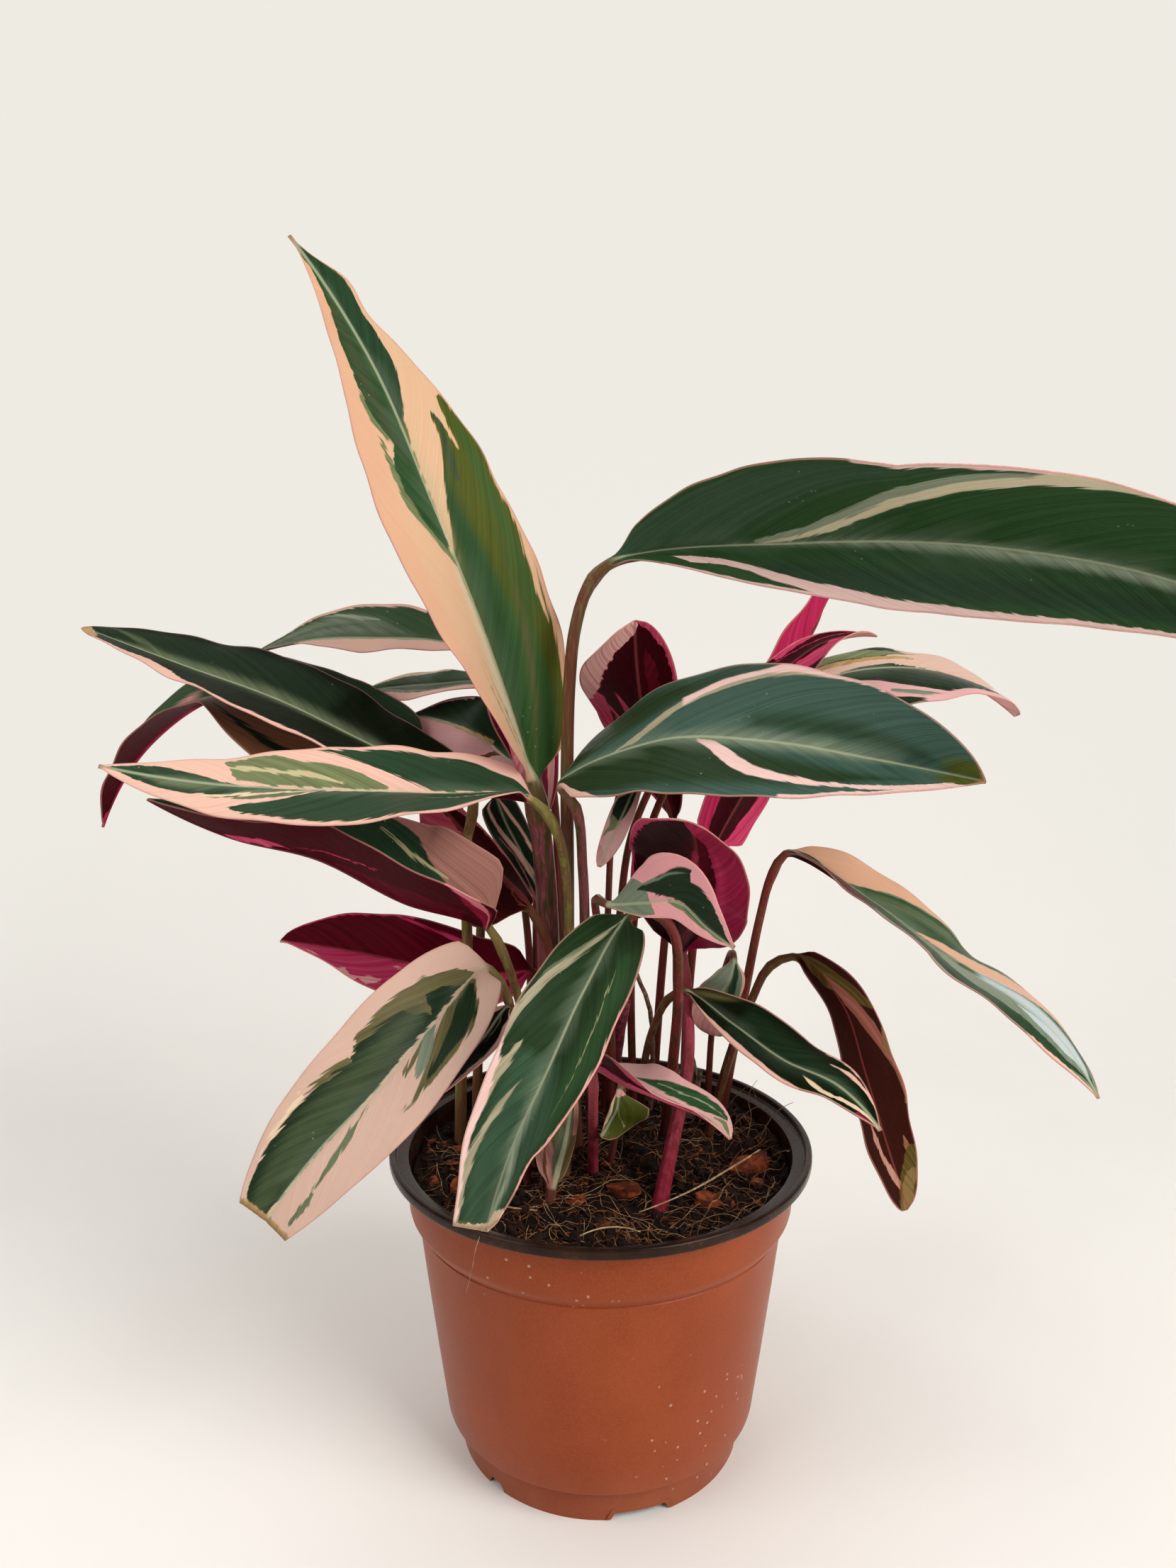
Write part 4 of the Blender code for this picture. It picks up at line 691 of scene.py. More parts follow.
    ]),
    "small_green_leaf": ("olive", "purple_green", [
        wash("green", (30, -60, -10), (70, -60, -10), (100, -40, 0)),
        patch("rose", (0, -100, 100), (6, -100, 100), (10, -90, 20), (14, 0, 0)),
        patch("lemon", (30, 0, 3), (50, 16, 20), (66, 60, 66), (70, 70, 70)),
        patch("cream", (10, -100, -70), (30, -100, -66), (50, -100, -50), (68, -100, -56), (80, -100, -90),
            (86, -100, -100)),
    ]),
    "striped_sheath": ("khaki", "purple_green", [
        patch("dusty", (0, -100, 10), (20, -100, 0), (45, -100, -50), (60, -100, -100)),
        patch("sage", (10, -20, 0), (30, -30, -10), (50, -35, -5), (62, -30, -30)),
        patch("brown", (5, -75, -55), (20, -70, -50), (35, -70, -60), (42, -70, -70)),
        patch("brown", (5, 40, 60), (30, 45, 70), (60, 55, 75), (80, 70, 70)),
        patch("grey", (0, 15, 30), (30, 20, 35), (60, 30, 45), (80, 50, 50)),
        patch("dusty", (50, 60, 100), (80, 40, 100), (100, -100, 100)),
    ]),
    "magenta_sheath": ("crimson", "magenta", [
        patch("rose", (0, -70, -30), (30, -80, -40), (60, -90, -60), (80, -80, -80)),
        patch("mid", (20, 30, 45), (50, 40, 55), (80, 50, 50)),
        patch("crimson", (70, -100, 100), (100, -100, 100)),
    ]),
}

# How silvery the feathering is, how pink the margin line and how ragged the patches' edges.
USUAL_SHEEN = (0.3, 0.5, 0.6)
LEAF_SHEEN = {
    "right_arching_leaf": (0.25, 0.6, 0.3),
    "front_leaf": (0.38, 0.6, 0.6),
    "right_middle_leaf": (0.4, 0.6, 0.3),
    "left_upper_leaf": (0.14, 0.35, 0.35),
    "narrow_dark_leaf": (0.2, 0.9, 0.6),
    "upright_leaf": (0.2, 0.6, 0.45),
    "right_front_leaf": (0.25, 0.7, 0.5),
    "right_long_leaf": (0.5, 0.6, 0.4),
    "low_left_leaf": (0.2, 0.6, 0.8),
    "left_level_leaf": (0.3, 0.5, 0.7),
}
# How far a leaf's back is rust brown and not wine red.
RUSTY_BACKS = {"right_drooping_leaf": 1.0, "dark_purple_leaf": 0.4, "crimson_leaf": 0.1}
# These leaves shine less than the other green ones.
DULL_LEAVES = ("upright_leaf", "left_upper_leaf", "right_front_leaf", "narrow_dark_leaf")
# These leaves are turned over, so that their wine-red back is where the others have their face.
BACK_TO_FRONT = ("magenta_backed_leaf", "striped_sheath")
PURPLE_LEAVES = (
    "brown_striped_leaf", "purple_backed_leaf", "dark_purple_leaf", "magenta_backed_leaf", "crimson_leaf",
    "crimson_upright_leaf", "rolled_crimson_leaf", "right_drooping_leaf", "round_crimson_leaf",
    "striped_sheath", "magenta_sheath",
)

# The dry stub's base, and its stems as points from the foot up with the foot and top radius.
STUB_BASE = [(40, 42, 100), (40, 42, 110), (40, 42, 120)]
STUB_BASE_RADII = (4.2, 4.0, 3.4)
STUB_STEMS = (
    ([(39, 41, 118), (36, 40, 131), (33, 40, 142)], 1.7, 0.9),
    ([(41, 43, 118), (42, 42, 133), (40, 40, 147)], 1.6, 0.8),
    ([(41, 41, 118), (43, 39, 129), (44, 37, 138)], 1.5, 0.8),
    ([(39, 43, 118), (37, 46, 128), (33, 49, 134)], 1.4, 0.8),
)
SHREDS = 5

# The withered stem and the cut sheath, as points and radii from the foot up.
WITHERED_STEM = (
    [(23, 54, 97), (23, 49, 115), (23, 34, 151), (20, 16, 177), (15, 6, 192), (13, 2, 198)],
    (1.2, 1.1, 1.0, 0.8),
)
CUT_SHEATH = ([(6, 41, 97), (6, 32, 115), (7, 10, 160), (10, 2, 183)], (3.0, 2.8, 2.5, 2.3))

# Bark chips half sunk in the soil: centre, half sizes, turn and tilt in degrees.
BARK_CHIPS = {
    "bark_chip_1": ((60, -6, 116), (9, 6, 2.6), 20, 14),
    "bark_chip_2": ((9, -24, 115.6), (8, 4, 2.2), -35, 18),
    "bark_chip_3": ((42, -32, 115), (7, 5, 2.2), 10, -12),
    "bark_chip_4": ((-54, -18, 115), (8, 4, 2.2), 60, 10),
}
CHIP_RADII = (1.0, 0.86, 1.05, 0.9, 0.98, 0.8, 1.02)
CHIP_CORNERS = 24
CHIP_LAYERS = 6

# Loose straws on the soil and root hairs standing up from it: points and radii.
STRAWS = (
    ([(14, -44, 117.4), (34, -30, 118.2), (52, -12, 118.6), (66, 4, 118.4)], (0.22, 0.42, 0.34)),
    ([(-46, -34, 116.8), (-36, -40, 117.4), (-24, -42, 117.0)], (0.3, 0.4, 0.25)),
    ([(-8, -58, 116.0), (4, -54, 117.2), (14, -56, 116.4)], (0.25, 0.3, 0.2)),
)
ROOT_HAIRS = (
    ([(66, 14, 114), (69, 12, 124), (73, 8, 133), (79, 4, 139)], 0.18),
    ([(62, 20, 114), (64, 18, 126), (62, 14, 137), (65, 10, 146)], 0.16),
    ([(58, 30, 114), (62, 28, 122), (69, 24, 128), (74, 22, 126)], 0.16),
    ([(-34, -58, 115), (-38, -66, 121), (-41, -72, 127.3), (-43.5, -74.2, 122), (-45.5, -73.6, 112),
      (-48, -72.5, 102)], 0.14),
    ([(68, 2, 114), (72, -4, 121), (75, -12, 126), (73, -19, 129)], 0.15),
    ([(54, 40, 114), (60, 42, 124), (66, 38, 131), (68, 30, 127)], 0.15),
    ([(30, -52, 114), (36, -56, 121), (44, -57, 124), (52, -55, 119)], 0.14),
)


def unit(vectors):
    return vectors / np.linalg.norm(vectors, axis=-1, keepdims=True)


def smooth_path(points, steps=24):
    """A smooth line through the points, with the place of each point on it."""
    gaps = np.linalg.norm(np.diff(points, axis=0), axis=1) ** 0.75
    slopes = np.diff(points, axis=0) / gaps[:, None]
    tangents = np.empty_like(points)
    before, after = gaps[:-1, None], gaps[1:, None]
    tangents[1:-1] = (slopes[:-1] * after + slopes[1:] * before) / (before + after)
    tangents[0] = 2 * slopes[0] - tangents[1] if len(points) > 2 else slopes[0]
    tangents[-1] = 2 * slopes[-1] - tangents[-2] if len(points) > 2 else slopes[0]
    line = []
    u = np.linspace(0, 1, steps, endpoint=False)[:, None]
    for i, gap in enumerate(gaps):
        line.append(
            (2 * u**3 - 3 * u**2 + 1) * points[i]
            + (u**3 - 2 * u**2 + u) * gap * tangents[i]
            + (3 * u**2 - 2 * u**3) * points[i + 1]
            + (u**3 - u**2) * gap * tangents[i + 1]
        )
    line.append(points[-1:])
    return np.concatenate(line), np.arange(len(points)) * steps


def arc_lengths(line):
    return np.concatenate([[0.0], np.cumsum(np.linalg.norm(np.diff(line, axis=0), axis=1))])


def sample(line, arc, places):
    return np.stack([np.interp(places, arc, line[:, k]) for k in range(3)], axis=-1)


def carried_normals(tangents, start, normal):
    """The normal given at one place, carried along the line both ways without twisting."""
    normals = np.zeros_like(tangents)
    normals[start] = unit(normal - (normal @ tangents[start]) * tangents[start])
    for i in range(start + 1, len(tangents)):
        normals[i] = unit(normals[i - 1] - (normals[i - 1] @ tangents[i]) * tangents[i])
    for i in range(start - 1, -1, -1):
        normals[i] = unit(normals[i + 1] - (normals[i + 1] @ tangents[i]) * tangents[i])
    return normals


def direction(azimuth, elevation):
    a, e = math.radians(azimuth), math.radians(elevation)
    return np.array([math.cos(e) * math.cos(a), math.cos(e) * math.sin(a), math.sin(e)])


def leaf_frames(spec):
    """Stations from the foot to the tip, where 0 is the neck, with their centres and directions."""
    line, index = smooth_path(spec["points"])
    arc = arc_lengths(line)
    neck, tip = arc[index[spec["neck"]]], arc[-1]
    tangents = unit(np.gradient(line, arc, axis=0))
    middle = int(np.searchsorted(arc, 0.5 * (neck + tip)))
    normals = carried_normals(tangents, middle, direction(*spec["face"]))
    stem = np.linspace(0, neck, max(3, round(neck / STEM_STEP)), endpoint=False)
    blade = np.linspace(neck, tip, max(12, round((tip - neck) / BLADE_STEP)))
    places = np.concatenate([stem, blade])
    stations = (places - neck) / (tip - neck)
    along = unit(sample(tangents, arc, places))
    up = sample(normals, arc, places)
    up = unit(up - np.sum(up * along, axis=1, keepdims=True) * along)
    base_twist, tip_twist = spec["twist"]
    toward_base = np.clip(1 - 2 * stations, 0, 1)
    toward_tip = np.clip(2 * stations - 1, 0, 1)
    turn = np.radians(base_twist * toward_base + tip_twist * toward_tip)[:, None]
    up = np.cos(turn) * up + np.sin(turn) * np.cross(up, along)
    return stations, sample(line, arc, places), up, np.cross(up, along), tip - neck


def blade_halves(spec, stations, across):
    """The blade's half width on the side of each place across it."""
    place = np.clip(stations, 0, 1) * spec["cut"]
    belly, full = spec["belly"], spec["full"]
    width = (place / belly) ** (full * belly) * ((1 - place) / (1 - belly)) ** (full * (1 - belly))
    half = np.where(across >= 0, spec["half"][0], spec["half"][1]) * width[:, None]
    for side, where, height, spread in spec["bumps"]:
        swell = height * np.exp(-(((stations - where) / spread) ** 2))[:, None]
        half = half + np.where((across >= 0) == (side == "left"), swell, 0) * (stations < 0.99)[:, None]
    return np.maximum(half, NARROWEST_HALF)


# Places across the blade, closest together at the midrib and the margins.
HALF_COLUMNS = (0.03, 0.07, 0.13, 0.2, 0.28, 0.37, 0.46, 0.55, 0.64, 0.73, 0.82, 0.9, 0.96, 1.0)
COLUMNS = np.array(HALF_COLUMNS[::-1] + (0.0,) + tuple(-c for c in HALF_COLUMNS))


def over_and_under(values):
    """Values for the upper side of each ring, followed by the same ones for its underside."""
    return np.concatenate([values, values[:, ::-1]], axis=1)


def margin_waves(blade_mm, seed):
    """The shallow waves along the margin."""
    high, length = LONG_WAVE
    low, short = SHORT_WAVE
    wave = high * np.sin(blade_mm / length + seed) + low * np.sin(blade_mm / short - 2 * seed)
    return wave[:, None]


def leaf_surface(spec, seed):
    """The leaf as rings of points, with what its markings need to know at each point."""
    stations, centres, up, side, length = leaf_frames(spec)
    foot_radius, neck_radius = spec["radius"]
    half = blade_halves(spec, stations, COLUMNS[None, :])
    blade_mm = np.clip(stations, 0, 1) * length
    across = COLUMNS[None, :] * np.ones((len(stations), 1))
    from_middle = half * np.abs(across)
    vein = blade_mm[:, None] - VEIN_SLANT * from_middle / (1 - VEIN_BEND * across**2)
    base_fold, tip_fold = spec["fold"]
    fold = np.radians(base_fold + (tip_fold - base_fold) * stations)[:, None]
    curl = math.radians(spec["curl"]) if abs(spec["curl"]) > LEAST_CURL else FLAT_CURL
    slope = fold - curl * np.abs(across)
    sideways = half * (np.sin(fold) - np.sin(slope)) / curl * np.sign(across)
    upward = half * (np.cos(slope) - np.cos(fold)) / curl
    slope = slope * np.sign(across)
    ripple = RIPPLE * np.sin(2 * math.pi * vein / VEIN_SPACING) * np.abs(across) * (1 - across**6)
    wave = margin_waves(blade_mm, seed)
    upward = upward + ripple + wave * np.abs(across) ** 4 * np.minimum(1, half / WAVY_HALF)
    thickness = MIDDLE_THICKNESS + (EDGE_THICKNESS - MIDDLE_THICKNESS) * np.abs(across)
    groove = GROOVE * np.exp(-((from_middle / GROOVE_WIDTH) ** 2))
    toward_neck = (1 - np.clip(stations, 0, 1)) ** RIB_TAPER
    rib_height = (RIB_SHARE * (2 * neck_radius - 1) * toward_neck + RIB_TIP)[:, None]
    rib = rib_height * np.exp(-((from_middle / (RIB_WIDTH + 0.5 * rib_height)) ** 2))
    rise = thickness / 2 - groove
    over = np.stack([sideways - np.sin(slope) * rise, upward + np.cos(slope) * rise], -1)
    drop = thickness / 2 + rib
    under = np.stack([sideways + np.sin(slope) * drop, upward - np.cos(slope) * drop], -1)
    blade = np.concatenate([over, under[:, ::-1]], axis=1)

    count = 2 * len(COLUMNS)
    angles = np.pi * (np.arange(count) + 0.5) / len(COLUMNS)
    below = np.maximum(0, -stations * length)
    radius = np.interp(stations, [stations[0], 0.0], [foot_radius, neck_radius])
    swelling = np.exp(-(((below - JOINT_BELOW) / JOINT_LENGTH) ** 2)) * (stations < 0)
    radius = radius * (1 + JOINT_SWELL * swelling)
    ribbed = 1 + STEM_RIB_HEIGHT * np.cos(STEM_RIBS * angles + seed)
    round_ring = np.stack([np.cos(angles), np.sin(angles)], -1)
    stem = round_ring[None] * (radius[:, None] * ribbed[None, :])[..., None]
    share = np.clip(stations / spec["spread"], 0, 1)[:, None, None]
    share = share * share * (3 - 2 * share)
    ring = stem * (1 - share) + blade * share
    points = centres[:, None] + side[:, None] * ring[..., :1] + up[:, None] * ring[..., 1:]
    facts = {
        "along": np.repeat(stations[:, None], count, axis=1),
        "across": over_and_under(across),
        "vein": over_and_under(vein),
        "middle": over_and_under(from_middle),
        "margin": over_and_under(half - from_middle),
        "below": np.repeat(below[:, None], count, axis=1),
        "under": np.repeat(np.repeat([[0.0, 1.0]], len(COLUMNS), axis=1), len(stations), axis=0),
    }
    return points, facts


def ring_faces(rings, count):
    """The four-sided faces between rings of equal count."""
    i, j = np.meshgrid(np.arange(rings - 1), np.arange(count), indexing="ij")
    a = i * count + j
    b = i * count + (j + 1) % count
    return np.stack([a, b, b + count, a + count], axis=-1).reshape(-1, 4)


def strip_cap(base, count):
    """The faces that close an end of a flat or round ring."""
    j = np.arange(count // 2 - 1)
    return np.stack([base + j, base + j + 1, base + count - 2 - j, base + count - 1 - j], axis=-1)


def closed_faces(rings, count):
    """The faces between the rings, with both ends closed."""
    faces = [tuple(face) for face in ring_faces(rings, count)]
    for base in (0, (rings - 1) * count):
        faces += [tuple(face) for face in strip_cap(base, count)]
    return faces


def solid_mesh(name, points, faces):
    """A mesh from points in metres, with its faces turned outward."""
    mesh = bpy.data.meshes.new(name)
    mesh.from_pydata(points.tolist(), [], [tuple(int(k) for k in face) for face in faces])
    build = bmesh.new()
    build.from_mesh(mesh)
    bmesh.ops.recalc_face_normals(build, faces=build.faces)
    build.to_mesh(mesh)
    build.free()
    return mesh


def place_object(name, data):
    placed = bpy.data.objects.new(name, data)
    bpy.context.scene.collection.objects.link(placed)
    return placed


def new_piece(name, points, faces, slot, material, facts=None, smooth=True, box=None):
    """Makes a piece from points in millimetres, kept inside the box in metres where one is given."""
    points = np.asarray(points, float).reshape(-1, 3) * MM
    if box:
        points = np.clip(points, *np.array(box))
    mesh = solid_mesh(name, points, faces)
    for key, values in (facts or {}).items():
        attribute = mesh.attributes.new(key, "FLOAT", "POINT")
        attribute.data.foreach_set("value", np.asarray(values, np.float32).ravel())
    mesh.polygons.foreach_set("use_smooth", [smooth] * len(mesh.polygons))
    mesh.materials.append(material)
    piece = place_object(name, mesh)
    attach(piece, "root")
    return piece


def tube(points, radii, count=8, step=4.0, wobble=0.0, seed=0.0):
    """Rings round a smooth line, with the radius along it and a little unevenness."""
    line, _ = smooth_path(np.array(points, float), 12)
    arc = arc_lengths(line)
    tangents = unit(np.gradient(line, arc, axis=0))
    start = np.array([0.3, -1.0, 0.2]) if abs(tangents[0, 1]) < 0.9 else np.array([1.0, 0.1, 0.2])
    normals = carried_normals(tangents, 0, start)
    places = np.linspace(0, arc[-1], max(3, round(arc[-1] / step) + 1))
    along = unit(sample(tangents, arc, places))
    up = unit(sample(normals, arc, places))
    side = np.cross(up, along)
    angles = 2 * math.pi * np.arange(count) / count
    radius = np.interp(places / arc[-1], np.linspace(0, 1, len(radii)), radii)[:, None]
    radius = radius * (1 + wobble * np.sin(3 * angles[None, :] + places[:, None] / 2 + seed))
    ring = np.cos(angles)[None, :, None] * side[:, None] + np.sin(angles)[None, :, None] * up[:, None]
    rings = sample(line, arc, places)[:, None] + radius[..., None] * ring
    ends = [tuple(range(count)), tuple(range((len(places) - 1) * count, len(places) * count))]
    return rings.reshape(-1, 3), [tuple(face) for face in ring_faces(len(places), count)] + ends


def gather(meshes):
    """Joins lists of points and faces into one."""
    points, faces, base = [], [], 0
    for some_points, some_faces in meshes:
        points.append(np.asarray(some_points, float).reshape(-1, 3))
        faces += [tuple(int(base + k) for k in face) for face in some_faces]
        base += len(points[-1])
    return np.concatenate(points), faces


def set_inputs(tree, node, values):
    """Gives a node's inputs, by name or number, a number, a colour or another node's output."""
    for key, value in values.items():
        socket = node.inputs[key]
        if isinstance(value, bpy.types.NodeSocket):
            tree.links.new(value, socket)
        elif isinstance(value, tuple) and socket.type == "RGBA":
            socket.default_value = (*value, 1.0)
        else:
            socket.default_value = value


class Sheet:
    """The nodes of one material or node group, laid out from left to right."""

    def __init__(self, tree):
        self.tree = tree
        self.column = 0

    def add(self, kind, inputs=None, **settings):
        node = self.tree.nodes.new(kind)
        self.column += 1
        node.location = (180 * self.column, -60 * (self.column % 7))
        for key, value in settings.items():
            setattr(node, key, value)
        set_inputs(self.tree, node, inputs or {})
        return node

    def math(self, operation, a, b=None):
        inputs = {0: a} if b is None else {0: a, 1: b}
        return self.add("ShaderNodeMath", inputs, operation=operation).outputs[0]

    def plus(self, a, b):
        return self.math("ADD", a, b)

    def minus(self, a, b):
        return self.math("SUBTRACT", a, b)

    def times(self, a, b):
        return self.math("MULTIPLY", a, b)

    def remap(self, value, low, high, to_low=0.0, to_high=1.0):
        """Turns a range of values into another, eased at both ends."""
        inputs = {"Value": value, "From Min": low, "From Max": high, "To Min": to_low, "To Max": to_high}
        return self.add("ShaderNodeMapRange", inputs, interpolation_type="SMOOTHSTEP").outputs["Result"]

    def mix(self, share, a, b):
        return self.add("ShaderNodeMix", {0: share, 6: a, 7: b}, data_type="RGBA").outputs[2]

    def scaled(self, colour, factor):
        return self.add("ShaderNodeVectorMath", {0: colour, 3: factor}, operation="SCALE").outputs[0]

    def brightness(self, colour):
        return self.add("ShaderNodeRGBToBW", {0: colour}).outputs[0]

    def attribute(self, name):
        return self.add("ShaderNodeAttribute", attribute_name=name).outputs["Fac"]

    def place(self):
        """The point on the object, in metres."""
        return self.add("ShaderNodeTexCoord").outputs["Object"]

    def axes(self, vector):
        return self.add("ShaderNodeSeparateXYZ", {0: vector}).outputs

    def stretched(self, vector, scale):
        return self.add("ShaderNodeMapping", {"Vector": vector, "Scale": scale}).outputs[0]

    def noise(self, vector, scale, detail=2.0, roughness=0.5):
        inputs = {"Vector": vector, "Scale": scale, "Detail": detail, "Roughness": roughness}
        return self.add("ShaderNodeTexNoise", inputs).outputs["Fac"]

    def spots(self, vector, scale, edge, rim):
        """Round spots, one in each cell: 1 inside the edge and 0 from the rim out."""
        inputs = {"Vector": vector, "Scale": scale}
        distance = self.add("ShaderNodeTexVoronoi", inputs, feature="F1").outputs["Distance"]
        return self.remap(distance, edge, rim, 1.0, 0.0)

    def streaks(self, value, scale, detail=1.0, seed=0.0):
        """Noise along one value only, so that it makes lines where the value is the same."""
        inputs = {"W": self.plus(value, seed), "Scale": scale, "Detail": detail}
        return self.add("ShaderNodeTexNoise", inputs, noise_dimensions="1D").outputs["Fac"]

    def combine(self, x, y, z):
        return self.add("ShaderNodeCombineXYZ", {0: x, 1: y, 2: z}).outputs[0]

    def ramp(self, value, stops):
        node = self.add("ShaderNodeValToRGB", {"Fac": value})
        elements = node.color_ramp.elements
        while len(elements) < len(stops):
            elements.new(0.5)
        for element, (place, colour) in zip(elements, stops):
            element.position = place
            element.color = (*colour, 1.0)
        return node.outputs["Color"]

    def group(self, tree, inputs):
        return self.add("ShaderNodeGroup", inputs, node_tree=tree).outputs


def new_group(name, inputs, outputs):
    """A node group with named sockets; inputs and outputs map a name to a value or a colour."""
    tree = bpy.data.node_groups.new(name, "ShaderNodeTree")
    for in_out, sockets in (("INPUT", inputs), ("OUTPUT", outputs)):
        for key, value in sockets.items():
            kind = "NodeSocketColor" if isinstance(value, tuple) else "NodeSocketFloat"
            socket = tree.interface.new_socket(name=key, in_out=in_out, socket_type=kind)
            if in_out == "INPUT":
                socket.default_value = (*value, 1.0) if isinstance(value, tuple) else value
    sheet = Sheet(tree)
    return sheet, sheet.add("NodeGroupInput").outputs


def close_group(sheet, values):
    sheet.add("NodeGroupOutput", values)
    return sheet.tree


GREY = (0.5, 0.5, 0.5)


def ragged_edge_group():
    """Shifts the place across a leaf by noise that is the same along each vein, as the real patches are."""
    sheet, given = new_group(
        "ragged edge", {"Along": 0.0, "Across": 0.0, "Vein": 0.0, "Seed": 0.0, "Reach": 1.0},
        {"Along": 0.0, "Across": 0.0})
    side = sheet.math("SIGN", given["Across"])
    seed = sheet.plus(given["Seed"], sheet.times(side, 37.0))
    vein = sheet.plus(given["Vein"], seed)
    wide = sheet.minus(sheet.streaks(vein, 0.11, 2.0), 0.5)
    fine = sheet.minus(sheet.streaks(vein, 0.5, 1.0, 91.0), 0.5)
    tooth = sheet.remap(sheet.streaks(vein, 0.19, 1.0, 47.0), 0.57, 0.59, 0.0, 0.05)
    shift = sheet.plus(sheet.times(wide, 0.09), sheet.times(fine, 0.035))
    shift = sheet.times(sheet.plus(shift, tooth), given["Reach"])
    across = sheet.plus(given["Across"], sheet.times(shift, side))
    bend = sheet.noise(sheet.combine(given["Along"], given["Across"], seed), 7.0, 2.0)
    along = sheet.plus(given["Along"], sheet.times(sheet.minus(bend, 0.5), 0.02))
    return close_group(sheet, {"Along": along, "Across": across})


# How far out a patch's edge can lie and from where it counts as on the margin, in half widths of the
# blade, and how wide the edge fades, in millimetres.
EDGE_REACH = 1.25
AT_MARGIN = 0.999
EDGE_BLUR = 0.6


def marking_group():
    """Lays one patch over a ground. Its edges come as colours: red is the lower one, green the upper."""
    sheet, given = new_group(
        "marking", {"Ground": GREY, "Tone": GREY, "Edges": GREY, "Across": 0.0, "Softness": 0.03},
        {"Colour": GREY})
    low, high, laid = sheet.add("ShaderNodeSeparateColor", {0: given["Edges"]}).outputs
    place = sheet.plus(sheet.math("DIVIDE", given["Across"], 2 * EDGE_REACH), 0.5)
    inside = sheet.math("MINIMUM", sheet.minus(place, low), sheet.minus(high, place))
    mask = sheet.remap(inside, sheet.times(given["Softness"], -0.4), given["Softness"])
    share = sheet.times(mask, laid)
    return close_group(sheet, {"Colour": sheet.mix(share, given["Ground"], given["Tone"])})


# The tones of a blade's veins and edges, its flecks and its back.
VEIN_BLUSH = (0.70, 0.34, 0.27)
VEIN_CREAM = (0.80, 0.66, 0.50)
VEIN_THREAD = (0.50, 0.24, 0.19)
FEATHER = (0.20, 0.26, 0.175)
RIB = (0.40, 0.44, 0.28)
MARGIN = (0.62, 0.33, 0.26)
DRY_TIP = (0.30, 0.17, 0.08)
FLECK = (0.30, 0.33, 0.26)
BACK_BLOOM = (0.040, 0.028, 0.019)
BACK_RIB = (0.26, 0.05, 0.05)
BACK_MARGIN = (0.60, 0.22, 0.20)
# The back's colour for each brightness of the marking on its face, where it is wine red or rust brown.
WINE_BACK = (
    (0.0, (0.018, 0.0006, 0.002)), (0.06, (0.064, 0.0015, 0.006)), (0.16, (0.23, 0.005, 0.028)),
    (0.3, (0.50, 0.026, 0.105)), (0.5, (0.62, 0.13, 0.20)), (0.63, (0.82, 0.56, 0.47)),
)
RUST_BACK = (
    (0.0, (0.024, 0.003, 0.0015)), (0.06, (0.045, 0.007, 0.003)), (0.14, (0.080, 0.055, 0.010)),
    (0.2, (0.21, 0.14, 0.050)), (0.3, (0.25, 0.068, 0.048)), (0.5, (0.44, 0.20, 0.16)),
    (0.63, (0.52, 0.40, 0.30)),
)


def veined(sheet, markings, bright, vein, lines, bands):
    """The markings with fine streaks: green ones vary in depth, pale ones blush or turn to cream."""
    depth = sheet.plus(sheet.times(lines, 0.35), sheet.times(bands, 0.65))
    green = sheet.scaled(markings, sheet.remap(depth, 0.3, 0.7, 0.84, 1.18))
    blush = sheet.remap(sheet.streaks(vein, 0.3, 2.0, 55.0), 0.42, 0.66, 0.0, 0.35)
    pale = sheet.mix(blush, markings, VEIN_BLUSH)
    pale = sheet.mix(sheet.remap(lines, 0.55, 0.75, 0.0, 0.3), pale, VEIN_CREAM)
    thread = sheet.remap(sheet.math("PINGPONG", vein, 1.25), 0.0, 0.24, 1.0, 0.0)
    thread = sheet.times(thread, sheet.remap(bands, 0.35, 0.6, 0.2, 1.0))
    pale = sheet.mix(sheet.times(thread, 0.4), pale, VEIN_THREAD)
    green = sheet.mix(sheet.times(thread, 0.45), green, sheet.scaled(green, 1.7))
    return sheet.mix(sheet.remap(bright, 0.3, 0.45), green, pale)


def feathered(sheet, colour, vein, across, silver, dark):
    """Silver feathering on the dark tones, which fades out from the midrib."""
    reach = sheet.remap(sheet.streaks(vein, 0.035, 2.0, 29.0), 0.35, 0.65, 0.12, 0.42)
    feather = sheet.remap(sheet.math("DIVIDE", across, reach), 0.0, 1.0, 1.0, 0.0)
    comb = sheet.remap(sheet.streaks(vein, 0.7, 2.0, 71.0), 0.3, 0.7, 0.75, 1.0)
    feather = sheet.times(sheet.times(sheet.times(feather, comb), silver), dark)
    return sheet.mix(feather, colour, FEATHER)


def flecked(sheet, colour, dark):
    """Small pale flecks of dried water, on the dark tones and only here and there."""
    place = sheet.place()
    dusty = sheet.remap(sheet.noise(place, 26.0, 2.0), 0.52, 0.62, 0.0, 0.5)
    fleck = sheet.times(sheet.spots(place, 230.0, 0.06, 0.1), sheet.times(dusty, dark))
    return sheet.mix(fleck, colour, FLECK)


